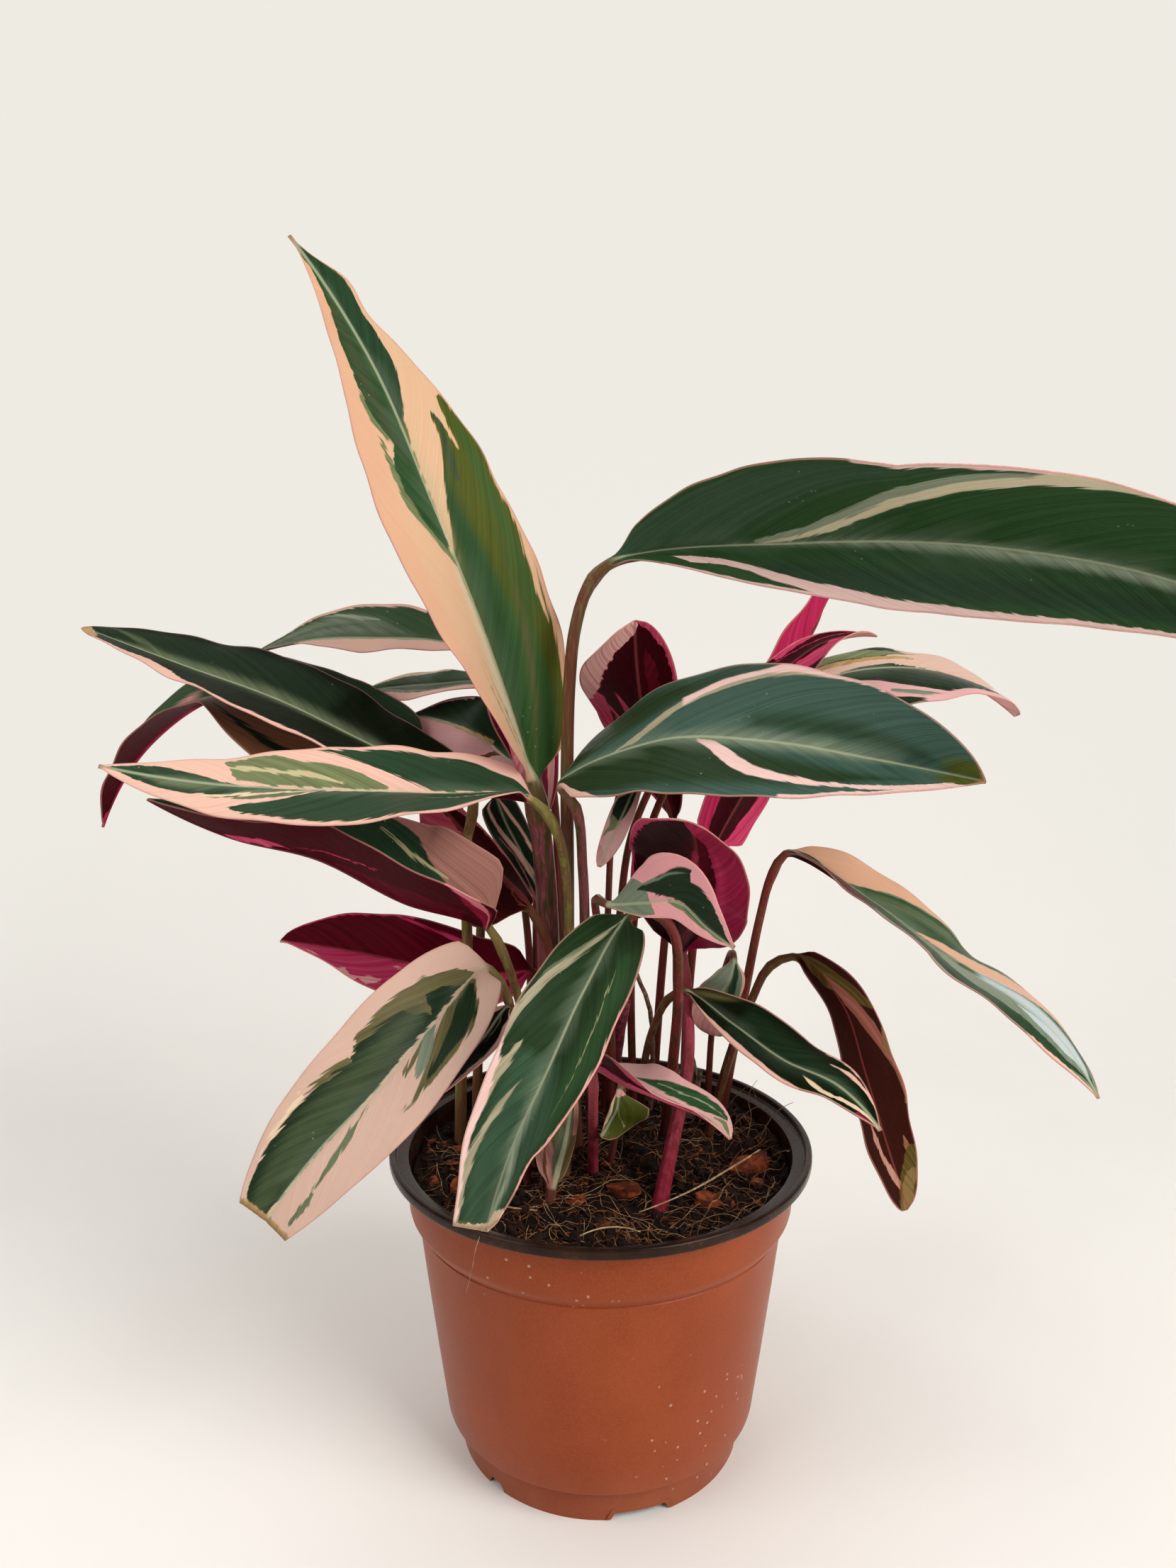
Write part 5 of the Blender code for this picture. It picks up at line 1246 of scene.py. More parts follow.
def back_of_leaf(sheet, face, vein, across, seed, rust, rib, margin):
    """The underside: each marking shows through it in wine red or rust brown, with a dull bloom."""
    shade = sheet.brightness(face)
    back = sheet.mix(rust, sheet.ramp(shade, WINE_BACK), sheet.ramp(shade, RUST_BACK))
    spread = sheet.combine(sheet.times(vein, 0.12), sheet.times(across, 1.6), seed)
    bloom = sheet.remap(sheet.noise(spread, 6.0, 5.0, 0.65), 0.52, 0.72, 0.0, 0.34)
    bloom = sheet.times(bloom, sheet.remap(shade, 0.06, 0.24, 1.0, 0.1))
    back = sheet.mix(bloom, back, BACK_BLOOM)
    back = sheet.mix(sheet.times(rib, 0.5), back, BACK_RIB)
    return sheet.mix(sheet.times(margin, 0.5), back, BACK_MARGIN)


def leaf_skin_group():
    """Veins, midrib, silver feathering, margin line and the wine-red underside of one leaf."""
    sheet, given = new_group(
        "leaf skin",
        {"Markings": GREY, "Along": 0.0, "Across": 0.0, "Vein": 0.0, "Middle": 0.0, "Margin": 0.0,
         "Under": 0.0, "Seed": 0.0, "Silver": 0.5, "Pinkness": 0.5, "Rust": 0.0},
        {"Colour": GREY, "Roughness": 0.4, "Height": 0.5})
    bright = sheet.brightness(given["Markings"])
    dark = sheet.remap(bright, 0.06, 0.2, 1.0, 0.0)
    side = sheet.times(sheet.math("SIGN", given["Across"]), 53.0)
    vein = sheet.plus(sheet.plus(given["Vein"], side), given["Seed"])
    across = sheet.math("ABSOLUTE", given["Across"])
    lines = sheet.streaks(vein, 1.3, 2.0)
    bands = sheet.streaks(vein, 0.2, 3.0, 17.0)
    face = veined(sheet, given["Markings"], bright, vein, lines, bands)
    colour = feathered(sheet, face, vein, across, given["Silver"], dark)
    rib = sheet.remap(given["Middle"], 0.3, 0.8, 1.0, 0.0)
    colour = sheet.mix(sheet.times(rib, 0.62), colour, RIB)
    margin = sheet.remap(given["Margin"], 0.3, 0.75, 1.0, 0.0)
    colour = sheet.mix(sheet.times(margin, given["Pinkness"]), colour, MARGIN)
    dry = sheet.remap(sheet.plus(given["Along"], sheet.times(lines, 0.02)), 0.992, 1.008)
    colour = sheet.mix(sheet.times(dry, 0.7), colour, DRY_TIP)
    colour = flecked(sheet, colour, dark)
    back = back_of_leaf(sheet, face, vein, across, given["Seed"], given["Rust"], rib, margin)
    gloss = sheet.plus(sheet.remap(lines, 0.3, 0.7, 0.26, 0.36), sheet.times(given["Under"], 0.16))
    height = sheet.plus(sheet.times(lines, 0.5), sheet.times(bands, 0.5))
    return close_group(sheet, {
        "Colour": sheet.mix(given["Under"], colour, back), "Roughness": gloss, "Height": height})


STEM_PARTS = ("Ground", "Streak", "Foot", "Joint")
STEM_SPOT = (0.05, 0.015, 0.01)


def stem_skin_group():
    """The stem's long streaks, its darker foot and the paler joint under the blade."""
    sheet, given = new_group(
        "stem skin", {**dict.fromkeys(STEM_PARTS, GREY), "Below": 0.0, "Seed": 0.0},
        {"Colour": GREY, "Height": 0.5})
    place = sheet.place()
    sideways = sheet.combine(given["Seed"], 0.0, 0.0)
    inputs = {0: sheet.stretched(place, (1.0, 1.0, 0.05)), 1: sideways}
    shifted = sheet.add("ShaderNodeVectorMath", inputs, operation="ADD").outputs[0]
    wide = sheet.noise(shifted, 420.0, 2.0)
    fine = sheet.noise(shifted, 1700.0, 1.0)
    colour = sheet.mix(sheet.remap(wide, 0.38, 0.54), given["Ground"], given["Streak"])
    colour = sheet.mix(sheet.remap(fine, 0.5, 0.75, 0.0, 0.6), colour, sheet.scaled(colour, 1.9))
    spots = sheet.noise(place, 1300.0, 1.0)
    colour = sheet.mix(sheet.remap(spots, 0.7, 0.8, 0.0, 0.3), colour, STEM_SPOT)
    colour = sheet.mix(sheet.remap(given["Below"], 3.0, 16.0, 0.75, 0.0), colour, given["Joint"])
    uneven = sheet.plus(sheet.axes(place)["Z"], sheet.times(wide, 0.03))
    colour = sheet.mix(sheet.remap(uneven, 0.128, 0.165, 0.85, 0.0), colour, given["Foot"])
    return close_group(sheet, {"Colour": colour, "Height": fine})


# Each stem's ground, streak, foot and joint tones.
STEMS = {
    "purple_green": (
        (0.100, 0.074, 0.030), (0.270, 0.078, 0.085),
        (0.120, 0.030, 0.025), (0.160, 0.110, 0.045)),
    "olive": (
        (0.115, 0.074, 0.028), (0.110, 0.038, 0.020),
        (0.100, 0.036, 0.020), (0.130, 0.080, 0.032)),
    "pale_olive": (
        (0.170, 0.140, 0.046), (0.145, 0.070, 0.032),
        (0.130, 0.055, 0.028), (0.200, 0.160, 0.055)),
    "yellow_green": (
        (0.190, 0.165, 0.040), (0.160, 0.095, 0.036),
        (0.140, 0.065, 0.032), (0.240, 0.215, 0.060)),
    "brown": (
        (0.090, 0.034, 0.018), (0.160, 0.030, 0.026),
        (0.075, 0.020, 0.012), (0.115, 0.052, 0.022)),
    "red_brown": (
        (0.200, 0.062, 0.030), (0.220, 0.036, 0.032),
        (0.130, 0.032, 0.020), (0.230, 0.075, 0.042)),
    "magenta": (
        (0.260, 0.050, 0.055), (0.340, 0.060, 0.080),
        (0.200, 0.009, 0.028), (0.330, 0.080, 0.085)),
}


def new_material(name, specular):
    material = bpy.data.materials.new(name)
    material.use_nodes = True
    sheet = Sheet(material.node_tree)
    shader = material.node_tree.nodes["Principled BSDF"]
    set_inputs(sheet.tree, shader, {"Specular IOR Level": specular})
    return material, sheet, shader


def finish_material(sheet, shader, colour, roughness, height, strength, relief):
    """Gives the shader its colour and roughness, and a relief in millimetres from the height."""
    inputs = {"Height": height, "Strength": strength, "Distance": relief * MM}
    normal = sheet.add("ShaderNodeBump", inputs).outputs["Normal"]
    set_inputs(sheet.tree, shader, {"Base Color": colour, "Roughness": roughness, "Normal": normal})


def edge_code(value, margin):
    """A place across the leaf as the share of a colour; an edge on its own margin lies well past it."""
    if value * margin >= AT_MARGIN:
        value = margin * EDGE_REACH
    return (value / EDGE_REACH + 1) / 2


def edge_stops(rows, fade):
    """A patch's edges as ramp stops, with nothing before the first row or after the last one."""
    stops = [(place, (edge_code(low, -1), edge_code(high, 1), 1.0)) for place, low, high in rows]
    first, last = stops[0], stops[-1]
    if first[0] > 0:
        stops.insert(0, (max(0.0, first[0] - fade), (*first[1][:2], 0.0)))
    if last[0] < 1:
        stops.append((min(1.0, last[0] + fade), (*last[1][:2], 0.0)))
    return stops


LEAF_FACTS = ("along", "across", "vein", "middle", "margin", "below", "under")
GREEN_SPECULAR = 0.09
DULL_SPECULAR = 0.03
# The share of the leaf's length over which a patch starts and ends.
FADE = 0.004
# What makes each leaf's and each stem's streaks its own.
SKIN_SEED_STEP = 13.7
STEM_SEED_STEP = 0.1


def leaf_material(name, groups, number):
    ground, stem, patches = MARKINGS[name]
    silver, pinkness, ragged_reach = LEAF_SHEEN.get(name, USUAL_SHEEN)
    specular = DULL_SPECULAR if name in PURPLE_LEAVES + DULL_LEAVES else GREEN_SPECULAR
    material, sheet, shader = new_material(name + " skin", specular)
    facts = {key.title(): sheet.attribute(key) for key in LEAF_FACTS}
    below = facts.pop("Below")
    seed = SKIN_SEED_STEP * number
    route = {key: facts[key] for key in ("Along", "Across", "Vein")}
    ragged = sheet.group(groups["ragged edge"], {**route, "Seed": seed, "Reach": ragged_reach})
    colour = TONES[ground]
    softness = 0.5 * EDGE_BLUR / (EDGE_REACH * max(LEAVES[name]["half"]))
    for tone, rows, blur in patches:
        edges = sheet.ramp(ragged["Along"], edge_stops(rows, FADE * blur))
        colour = sheet.group(groups["marking"], {
            "Ground": colour, "Tone": TONES[tone], "Edges": edges, "Across": ragged["Across"],
            "Softness": softness * blur})["Colour"]
    skin = sheet.group(groups["leaf skin"], {
        **facts, "Markings": colour, "Seed": seed, "Silver": silver, "Pinkness": pinkness,
        "Rust": RUSTY_BACKS.get(name, 0.0)})
    stalk = sheet.group(groups["stem skin"], {
        **dict(zip(STEM_PARTS, STEMS[stem])), "Below": below, "Seed": STEM_SEED_STEP * number})
    share = sheet.remap(facts["Along"], -0.002, 0.03)
    colour = sheet.mix(share, stalk["Colour"], skin["Colour"])
    finish_material(sheet, shader, colour, skin["Roughness"], skin["Height"], 0.45, 0.4)
    return material


TERRACOTTA = ((0.240, 0.041, 0.009), (0.285, 0.054, 0.014))
PALE_GRAIN = (0.40, 0.13, 0.06)
LIME_SPECK = (0.56, 0.40, 0.32)
DRIP = (0.13, 0.04, 0.02)
DUST = (0.36, 0.24, 0.18)
BLACK_PLASTIC = ((0.016, 0.0065, 0.004), (0.034, 0.014, 0.008))
DRIED_SOIL = (0.09, 0.05, 0.03)


def pot_material():
    """Terracotta-coloured plastic: fine moulded grain, dark drips, dust near the foot and white hard-water
    specks.
    """
    material, sheet, shader = new_material("terracotta plastic", 0.14)
    place = sheet.place()
    x, _, level = sheet.axes(place)
    cloud = sheet.noise(place, 22.0, 4.0, 0.6)
    grain = sheet.noise(place, 1500.0, 2.0)
    colour = sheet.mix(sheet.remap(cloud, 0.3, 0.7), *TERRACOTTA)
    colour = sheet.mix(sheet.remap(grain, 0.35, 0.7, 0.0, 0.16), colour, PALE_GRAIN)
    splashed = sheet.times(sheet.remap(x, -0.01, 0.03), sheet.remap(level, 0.02, 0.09, 1.0, 0.0))
    where = sheet.plus(sheet.noise(place, 17.0, 3.0), sheet.times(splashed, 0.13))
    speck = sheet.times(sheet.spots(place, 190.0, 0.08, 0.14), sheet.remap(where, 0.56, 0.66))
    colour = sheet.mix(sheet.times(speck, 0.6), colour, LIME_SPECK)
    run = sheet.stretched(place, (1.0, 1.0, 0.06))
    drips = sheet.remap(sheet.noise(run, 130.0, 2.0), 0.62, 0.74)
    drips = sheet.times(drips, sheet.remap(level, 0.05, 0.125, 0.0, 0.22))
    colour = sheet.mix(drips, colour, DRIP)
    dust = sheet.remap(level, 0.0, 0.03, 0.22, 0.0)
    colour = sheet.mix(sheet.times(dust, cloud), colour, DUST)
    rough = sheet.plus(sheet.remap(cloud, 0.3, 0.7, 0.30, 0.42), sheet.times(speck, 0.3))
    finish_material(sheet, shader, colour, rough, sheet.plus(sheet.times(grain, 0.4), speck), 0.25, 0.2)
    return material


def lip_material():
    """The pot's lip and inside: near-black glossy plastic with dust and dried soil."""
    material, sheet, shader = new_material("black plastic", 0.14)
    place = sheet.place()
    cloud = sheet.noise(place, 60.0, 4.0, 0.6)
    grain = sheet.noise(place, 1300.0, 2.0)
    colour = sheet.mix(sheet.remap(cloud, 0.3, 0.7), *BLACK_PLASTIC)
    dirt = sheet.times(sheet.remap(grain, 0.55, 0.68), sheet.remap(cloud, 0.45, 0.65))
    colour = sheet.mix(sheet.times(dirt, 0.6), colour, DRIED_SOIL)
    finish_material(sheet, shader, colour, sheet.remap(cloud, 0.3, 0.7, 0.16, 0.32), grain, 0.2, 0.15)
    return material


# Deep and light tones of the soil, and the tone of its grains.
SOILS = {
    "peat": ((0.004, 0.0018, 0.0012), (0.015, 0.007, 0.004)),
    "peat crumbs": ((0.005, 0.0022, 0.0013), (0.028, 0.012, 0.006)),
}
SOIL_GRAIN = (0.085, 0.035, 0.016)


def soil_material(name):
    material, sheet, shader = new_material(name, 0.2)
    place = sheet.place()
    lumps = sheet.noise(place, 170.0, 4.0, 0.65)
    grain = sheet.noise(place, 900.0, 3.0, 0.6)
    colour = sheet.mix(sheet.remap(lumps, 0.35, 0.68), *SOILS[name])
    colour = sheet.mix(sheet.remap(grain, 0.62, 0.75, 0.0, 0.7), colour, SOIL_GRAIN)
    rough = sheet.remap(lumps, 0.3, 0.7, 0.8, 1.0)
    finish_material(sheet, shader, colour, rough, sheet.plus(lumps, grain), 0.8, 1.0)
    return material


# Dry plant finishes: pale and brown tones, the scale of their patches, and roughness.
DRY_FINISHES = {
    "red bark": ((0.24, 0.048, 0.011), (0.050, 0.009, 0.002), 260.0, 0.85),
    "coir": ((0.34, 0.125, 0.042), (0.10, 0.032, 0.011), 300.0, 0.75),
    "pale rootlets": ((0.56, 0.36, 0.19), (0.27, 0.14, 0.06), 300.0, 0.75),
    "straw": ((0.58, 0.44, 0.26), (0.34, 0.21, 0.10), 300.0, 0.75),
    "root hair": ((0.40, 0.27, 0.15), (0.20, 0.11, 0.06), 300.0, 0.75),
    "bark": ((0.30, 0.056, 0.011), (0.090, 0.014, 0.003), 260.0, 0.85),
    "dry wood": ((0.34, 0.24, 0.15), (0.11, 0.065, 0.04), 330.0, 0.9),
    "withered stem": ((0.26, 0.14, 0.075), (0.10, 0.045, 0.03), 500.0, 0.7),
    "crimson sheath": ((0.27, 0.030, 0.060), (0.10, 0.018, 0.022), 420.0, 0.45),
}


def dry_material(name):
    """Dry plant fibre: long light and dark streaks."""
    pale, brown, scale, roughness = DRY_FINISHES[name]
    material, sheet, shader = new_material(name, 0.3)
    place = sheet.place()
    patches = sheet.noise(place, scale, 3.0, 0.6)
    grain = sheet.noise(place, 6 * scale, 2.0)
    colour = sheet.mix(sheet.remap(patches, 0.38, 0.62), pale, brown)
    colour = sheet.mix(sheet.remap(grain, 0.5, 0.7, 0.0, 0.4), colour, brown)
    rough = sheet.remap(grain, 0.3, 0.7, roughness - 0.1, roughness + 0.1)
    finish_material(sheet, shader, colour, rough, grain, 0.6, 0.4)
    return material


def combine(piece, other, operation):
    """Runs one Boolean on the piece and removes the other object."""
    step = piece.modifiers.new(operation.lower(), "BOOLEAN")
    step.operation = operation
    step.solver = "EXACT"
    step.object = other
    depsgraph = bpy.context.evaluated_depsgraph_get()
    mesh = bpy.data.meshes.new_from_object(piece.evaluated_get(depsgraph))
    piece.modifiers.clear()
    piece.data = mesh
    bpy.data.objects.remove(other, do_unlink=True)


def loose_solid(name, points, faces):
    """A plain solid to cut or join with."""
    return place_object(name, solid_mesh(name, np.asarray(points, float) * MM, faces))


def revolve(profile, segments):
    """Turns a closed line of (radius, height) points about the Z axis."""
    points, faces, rings = [], [], []
    for radius, height in profile:
        if radius == 0:
            rings.append([len(points)] * segments)
            points.append((0, 0, height))
            continue
        rings.append([len(points) + k for k in range(segments)])
        points += circle(radius, height, segments)
    for low, high in zip(rings, rings[1:] + rings[:1]):
        for k in range(segments):
            m = (k + 1) % segments
            corners = list(dict.fromkeys([low[k], low[m], high[m], high[k]]))
            if len(corners) > 2:
                faces.append(corners)
    return points, faces


def circle(radius, height, segments):
    """Points of a level ring."""
    angles = [2 * math.pi * k / segments for k in range(segments)]
    return [(radius * math.cos(angle), radius * math.sin(angle), height) for angle in angles]


def wedge(angle, start, end, width, height, bottom):
    """A bar along a radius, with its sides sloping in toward its top."""
    turn = math.radians(angle)
    out = np.array([math.cos(turn), math.sin(turn), 0.0])
    across = np.array([-math.sin(turn), math.cos(turn), 0.0])
    points = []
    for distance in (start, end):
        for offset, level in ((-0.5, bottom), (0.5, bottom), (0.5, height), (-0.5, height)):
            reach = width - (2 * CHANNEL_SLOPE if level == height else 0)
            points.append(out * distance + across * offset * reach + np.array([0.0, 0.0, level]))
    faces = [(0, 1, 2, 3), (4, 7, 6, 5), (0, 4, 5, 1), (1, 5, 6, 2), (2, 6, 7, 3), (3, 7, 4, 0)]
    return points, faces


def inner_wall(height):
    """The radius of the pot's inside at a height."""
    heights = (FLOOR, FOOT_HEIGHT, 17, 95, COLLAR_BOTTOM - 2, 104, 122)
    radii = (FOOT_RADIUS, FOOT_RADIUS + 0.9, BODY_BOTTOM_RADIUS, 73.5, BODY_TOP_RADIUS, 77.4, COLLAR_RADIUS)
    return float(np.interp(height, heights, np.array(radii) - WALL))


def rounded(corner_radius, corner_height, size, start, end, steps=4):
    """Points of a rounded corner between two directions, given in degrees."""
    turns = np.radians(np.linspace(start, end, steps))
    return [(corner_radius + size * math.cos(a), corner_height + size * math.sin(a)) for a in turns]


UNDER_RIM = POT_HEIGHT - RIM_HEIGHT
# Rounding of the rim's lower, upper and inner corner.
LOWER_ROUND = 0.8
UPPER_ROUND = 0.9
INNER_ROUND = 0.6
DRAIN_HOLE_CORNERS = 24
# In degrees, from where an edge of the pot stays sharp.
SHARP_ANGLE = 32


def pot_section():
    """The pot's wall as radius and height: up its outside, over the rim and down its inside."""
    section = [
        (FOOT_RADIUS, 0), (FOOT_RADIUS + 0.7, FOOT_HEIGHT - 0.6), (FOOT_RADIUS + 1.4, FOOT_HEIGHT),
        (BODY_BOTTOM_RADIUS - 1.2, FOOT_HEIGHT + 0.8), (BODY_BOTTOM_RADIUS - 0.3, FOOT_HEIGHT + 1.4),
        (BODY_BOTTOM_RADIUS, FOOT_HEIGHT + 2.4), (67.1, 43), (70.6, 71), (73.0, 91), (73.5, 95),
        (BODY_TOP_RADIUS - 0.1, COLLAR_BOTTOM - 2.6), (73.6, COLLAR_BOTTOM - 2.2),
        (73.9, COLLAR_BOTTOM - 1.8), (74.9, COLLAR_BOTTOM - 0.6), (76.2, COLLAR_BOTTOM + 1),
        (77.0, COLLAR_BOTTOM + 2.5), (77.4, COLLAR_BOTTOM + 4), (77.75, 113),
        (COLLAR_RADIUS, UNDER_RIM - 0.9), (COLLAR_RADIUS + 0.3, UNDER_RIM - 0.2),
        (COLLAR_RADIUS + 1, UNDER_RIM),
    ]
    section += rounded(RIM_RADIUS - LOWER_ROUND, UNDER_RIM + LOWER_ROUND, LOWER_ROUND, -90, 0)
    section += rounded(RIM_RADIUS - UPPER_ROUND, POT_HEIGHT - UPPER_ROUND, UPPER_ROUND, 0, 90)
    section += rounded(RIM_INNER_RADIUS + INNER_ROUND, POT_HEIGHT - INNER_ROUND, INNER_ROUND, 90, 180)
    section += [
        (RIM_INNER_RADIUS - 0.4, UNDER_RIM + 1.9), (RIM_INNER_RADIUS - 0.9, UNDER_RIM + 1.5),
        (COLLAR_RADIUS + 0.6, UNDER_RIM + 1.3), (COLLAR_RADIUS - 0.6, UNDER_RIM + 0.9),
        (inner_wall(120), 120), (inner_wall(104), 104), (inner_wall(98), 98), (inner_wall(95), 95),
        (inner_wall(71), 71), (inner_wall(17), 17.6), (inner_wall(14), FOOT_HEIGHT + 0.4),
        (inner_wall(FLOOR), FLOOR), (0, FLOOR), (0, 0),
    ]
    return section


def mould_channels(pot):
    """Raises the floor over each drain channel, then cuts the channel and its drain hole."""
    channels = [(angle, WIDE_CHANNEL) for angle in WIDE_CHANNEL_ANGLES]
    channels += [(angle, NARROW_CHANNEL) for angle in NARROW_CHANNEL_ANGLES]
    for angle, width in channels:
        ridge = wedge(
            angle, CHANNEL_INNER_END - WALL, FOOT_RADIUS - WALL / 2,
            width + 2 * WALL, CHANNEL_HEIGHT + FLOOR, FLOOR / 2)
        combine(pot, loose_solid("ridge", *ridge), "UNION")
    for angle, width in channels:
        channel = wedge(angle, CHANNEL_INNER_END, FOOT_RADIUS + 4, width, CHANNEL_HEIGHT, -0.5)
        combine(pot, loose_solid("channel", *channel), "DIFFERENCE")
    for angle, _ in channels:
        turn = math.radians(angle)
        x, y = DRAIN_HOLE_DISTANCE * math.cos(turn), DRAIN_HOLE_DISTANCE * math.sin(turn)
        line = [(x, y, -1), (x, y, 4), (x, y, 8)]
        bore = tube(line, (DRAIN_HOLE_RADIUS,) * 2, DRAIN_HOLE_CORNERS, 9.0)
        combine(pot, loose_solid("bore", *bore), "DIFFERENCE")


def paint_pot(mesh, shell, lip):
    """The rim and the inside take the lip's material, all the rest the shell's."""
    mesh.materials.clear()
    mesh.materials.append(shell)
    mesh.materials.append(lip)
    for polygon in mesh.polygons:
        x, y, z = polygon.center / MM
        outward = polygon.normal.x * x + polygon.normal.y * y
        within = math.hypot(x, y) < inner_wall(z) + 1 and z > FLOOR / 2 and outward < 0.2
        polygon.material_index = 1 if z > UNDER_RIM - 0.1 or within else 0
        polygon.use_smooth = True
    mesh.set_sharp_from_angle(angle=math.radians(SHARP_ANGLE))


def make_pot(shell, lip):
    pot = loose_solid("plant_pot", *revolve(pot_section(), POT_SEGMENTS))
    mould_channels(pot)
    paint_pot(pot.data, shell, lip)
    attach(pot, "root")
    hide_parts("pot")


def soil_height(x, y):
    """The soil is a little higher behind the stems and dips toward the front."""
    swell = 1.1 * np.sin(x / 17 + 0.6) * np.cos(y / 21 - 0.3)
    return SOIL_TOP + swell + 0.9 * np.sin((x + y) / 11) + 0.012 * y


def heaped(x, y):
    """From 0 to 1 where peat and coir lie heaped against the wall, at the right and behind."""
    near_wall = np.clip((math.hypot(x, y) - HEAP_START) / HEAP_WIDTH, 0, 1)
    azimuth = math.degrees(math.atan2(y, x))
    return float(near_wall * np.interp(azimuth, HEAP_AZIMUTHS, HEAP_SHARES))


def rough_soil_height(x, y):
    coarse = noise.noise(Vector((x / 7, y / 7, 0.4))) * 1.5
    lumps = coarse + noise.noise(Vector((x / 2.4, y / 2.4, 3.1))) * 0.9
    return float(soil_height(x, y)) + lumps * (1 + 0.6 * heaped(x, y)) - 0.4 + HEAP * heaped(x, y)


SOIL_SEGMENTS = 150
SOIL_STEP = 2.2
# Levels of the soil's side from its edge down, and its distance from the wall.
SOIL_LEVELS = (104, 98, 95, 71, 18.5, FOOT_HEIGHT - 0.4, SOIL_BOTTOM)
SOIL_GAP = 0.5


def make_soil(material):
    radii = np.append(np.arange(SOIL_STEP, SOIL_EDGE, SOIL_STEP), SOIL_EDGE)
    points = [(0.0, 0.0, rough_soil_height(0, 0))]
    for radius in radii:
        points += [(x, y, rough_soil_height(x, y)) for x, y, _ in circle(radius, 0, SOIL_SEGMENTS)]
    for height in SOIL_LEVELS:
        reach = inner_wall(height if height > FOOT_HEIGHT else FLOOR) - SOIL_GAP
        points += circle(reach, height, SOIL_SEGMENTS)
    rings = (len(points) - 1) // SOIL_SEGMENTS
    faces = [(0, 1 + k, 1 + (k + 1) % SOIL_SEGMENTS) for k in range(SOIL_SEGMENTS)]
    faces += [tuple(face + 1) for face in ring_faces(rings, SOIL_SEGMENTS)]
    faces.append(tuple(range(1 + (rings - 1) * SOIL_SEGMENTS, 1 + rings * SOIL_SEGMENTS)))
    soil = new_piece("potting_soil", points, faces, "soil", material)
    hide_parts("soil")


# Corners and faces of an icosahedron, the start of every crumb.
GOLDEN = (1 + 5**0.5) / 2
CRUMB_CORNERS = unit(np.array([
    (-1, GOLDEN, 0), (1, GOLDEN, 0), (-1, -GOLDEN, 0), (1, -GOLDEN, 0),
    (0, -1, GOLDEN), (0, 1, GOLDEN), (0, -1, -GOLDEN), (0, 1, -GOLDEN),
    (GOLDEN, 0, -1), (GOLDEN, 0, 1), (-GOLDEN, 0, -1), (-GOLDEN, 0, 1)], float))
CRUMB_FACES = [
    (0, 11, 5), (0, 5, 1), (0, 1, 7), (0, 7, 10), (0, 10, 11), (1, 5, 9), (5, 11, 4), (11, 10, 2),
    (10, 7, 6), (7, 1, 8), (3, 9, 4), (3, 4, 2), (3, 2, 6), (3, 6, 8), (3, 8, 9), (4, 9, 5), (2, 4, 11),
    (6, 2, 10), (8, 6, 7), (9, 8, 1)]


def scatter(draw, reach):
    """A place on the soil, evenly spread over its area."""
    angle, radius = 2 * math.pi * draw.random(), reach * math.sqrt(draw.random())
    return radius * math.cos(angle), radius * math.sin(angle)


def turned_points(points, lean, turn):
    """Leans points about the Y axis and then turns them about the Z axis."""
    tip = np.array([[math.cos(lean), 0, -math.sin(lean)], [0, 1, 0], [math.sin(lean), 0, math.cos(lean)]])
    spin = np.array([[math.cos(turn), -math.sin(turn), 0], [math.sin(turn), math.cos(turn), 0], [0, 0, 1]])
    return points @ tip.T @ spin.T


def make_crumbs(name, material, count, sizes, flatness, seed):
    """Uneven lumps or flakes scattered over the soil."""
    draw = np.random.default_rng(seed)
    crumbs = []
    for _ in range(count):
        x, y = scatter(draw, SOIL_EDGE - 1.5)
        size = sizes[0] + (sizes[1] - sizes[0]) * draw.random() ** 3
        corners = CRUMB_CORNERS * (0.72 + 0.5 * draw.random((12, 1)))
        width = 0.5 + 0.5 * draw.random()
        thickness = flatness * (0.8 + 0.5 * draw.random())
        corners = corners * np.array([1.0, width, thickness])
        lean = 0.9 * (draw.random() - 0.5)
        turn = 2 * math.pi * draw.random()
        corners = turned_points(corners, lean, turn) * size
        height = rough_soil_height(x, y) + size * 0.22 + 1.6 * heaped(x, y) * draw.random()
        crumbs.append((corners + np.array([x, y, height]), CRUMB_FACES))
    new_piece(name, *gather(crumbs), "soil", material, smooth=False)


FIBRE_STEPS = 11


def make_fibres(name, material, count, lengths, radius, lift, seed):
    """Curling coir fibres and old rootlets, lying over the crumbs."""
    draw = np.random.default_rng(seed)
    fibres = []
    for _ in range(count):
        x, y = scatter(draw, SOIL_EDGE - 6)
        heading, bend = 2 * math.pi * draw.random(), 2.4 * (draw.random() - 0.5)
        length = lengths[0] + (lengths[1] - lengths[0]) * draw.random() ** 2
        points = []
        for k in range(FIBRE_STEPS + 1):
            if math.hypot(x, y) > SOIL_EDGE - 1:
                break
            hump = math.sin(math.pi * k / FIBRE_STEPS) * lift * (0.5 + 2 * draw.random())
            hump *= 1 + heaped(x, y)
            points.append((x, y, rough_soil_height(x, y) + radius + 0.3 + hump))
            x += length / FIBRE_STEPS * math.cos(heading)
            y += length / FIBRE_STEPS * math.sin(heading)
            heading += bend / 4 + 0.7 * (draw.random() - 0.5)
        if len(points) > 2:
            fibres.append(tube(points, (radius * 0.8, radius, radius * 0.4), 5, 2.2))
    new_piece(name, *gather(fibres), "soil", material)


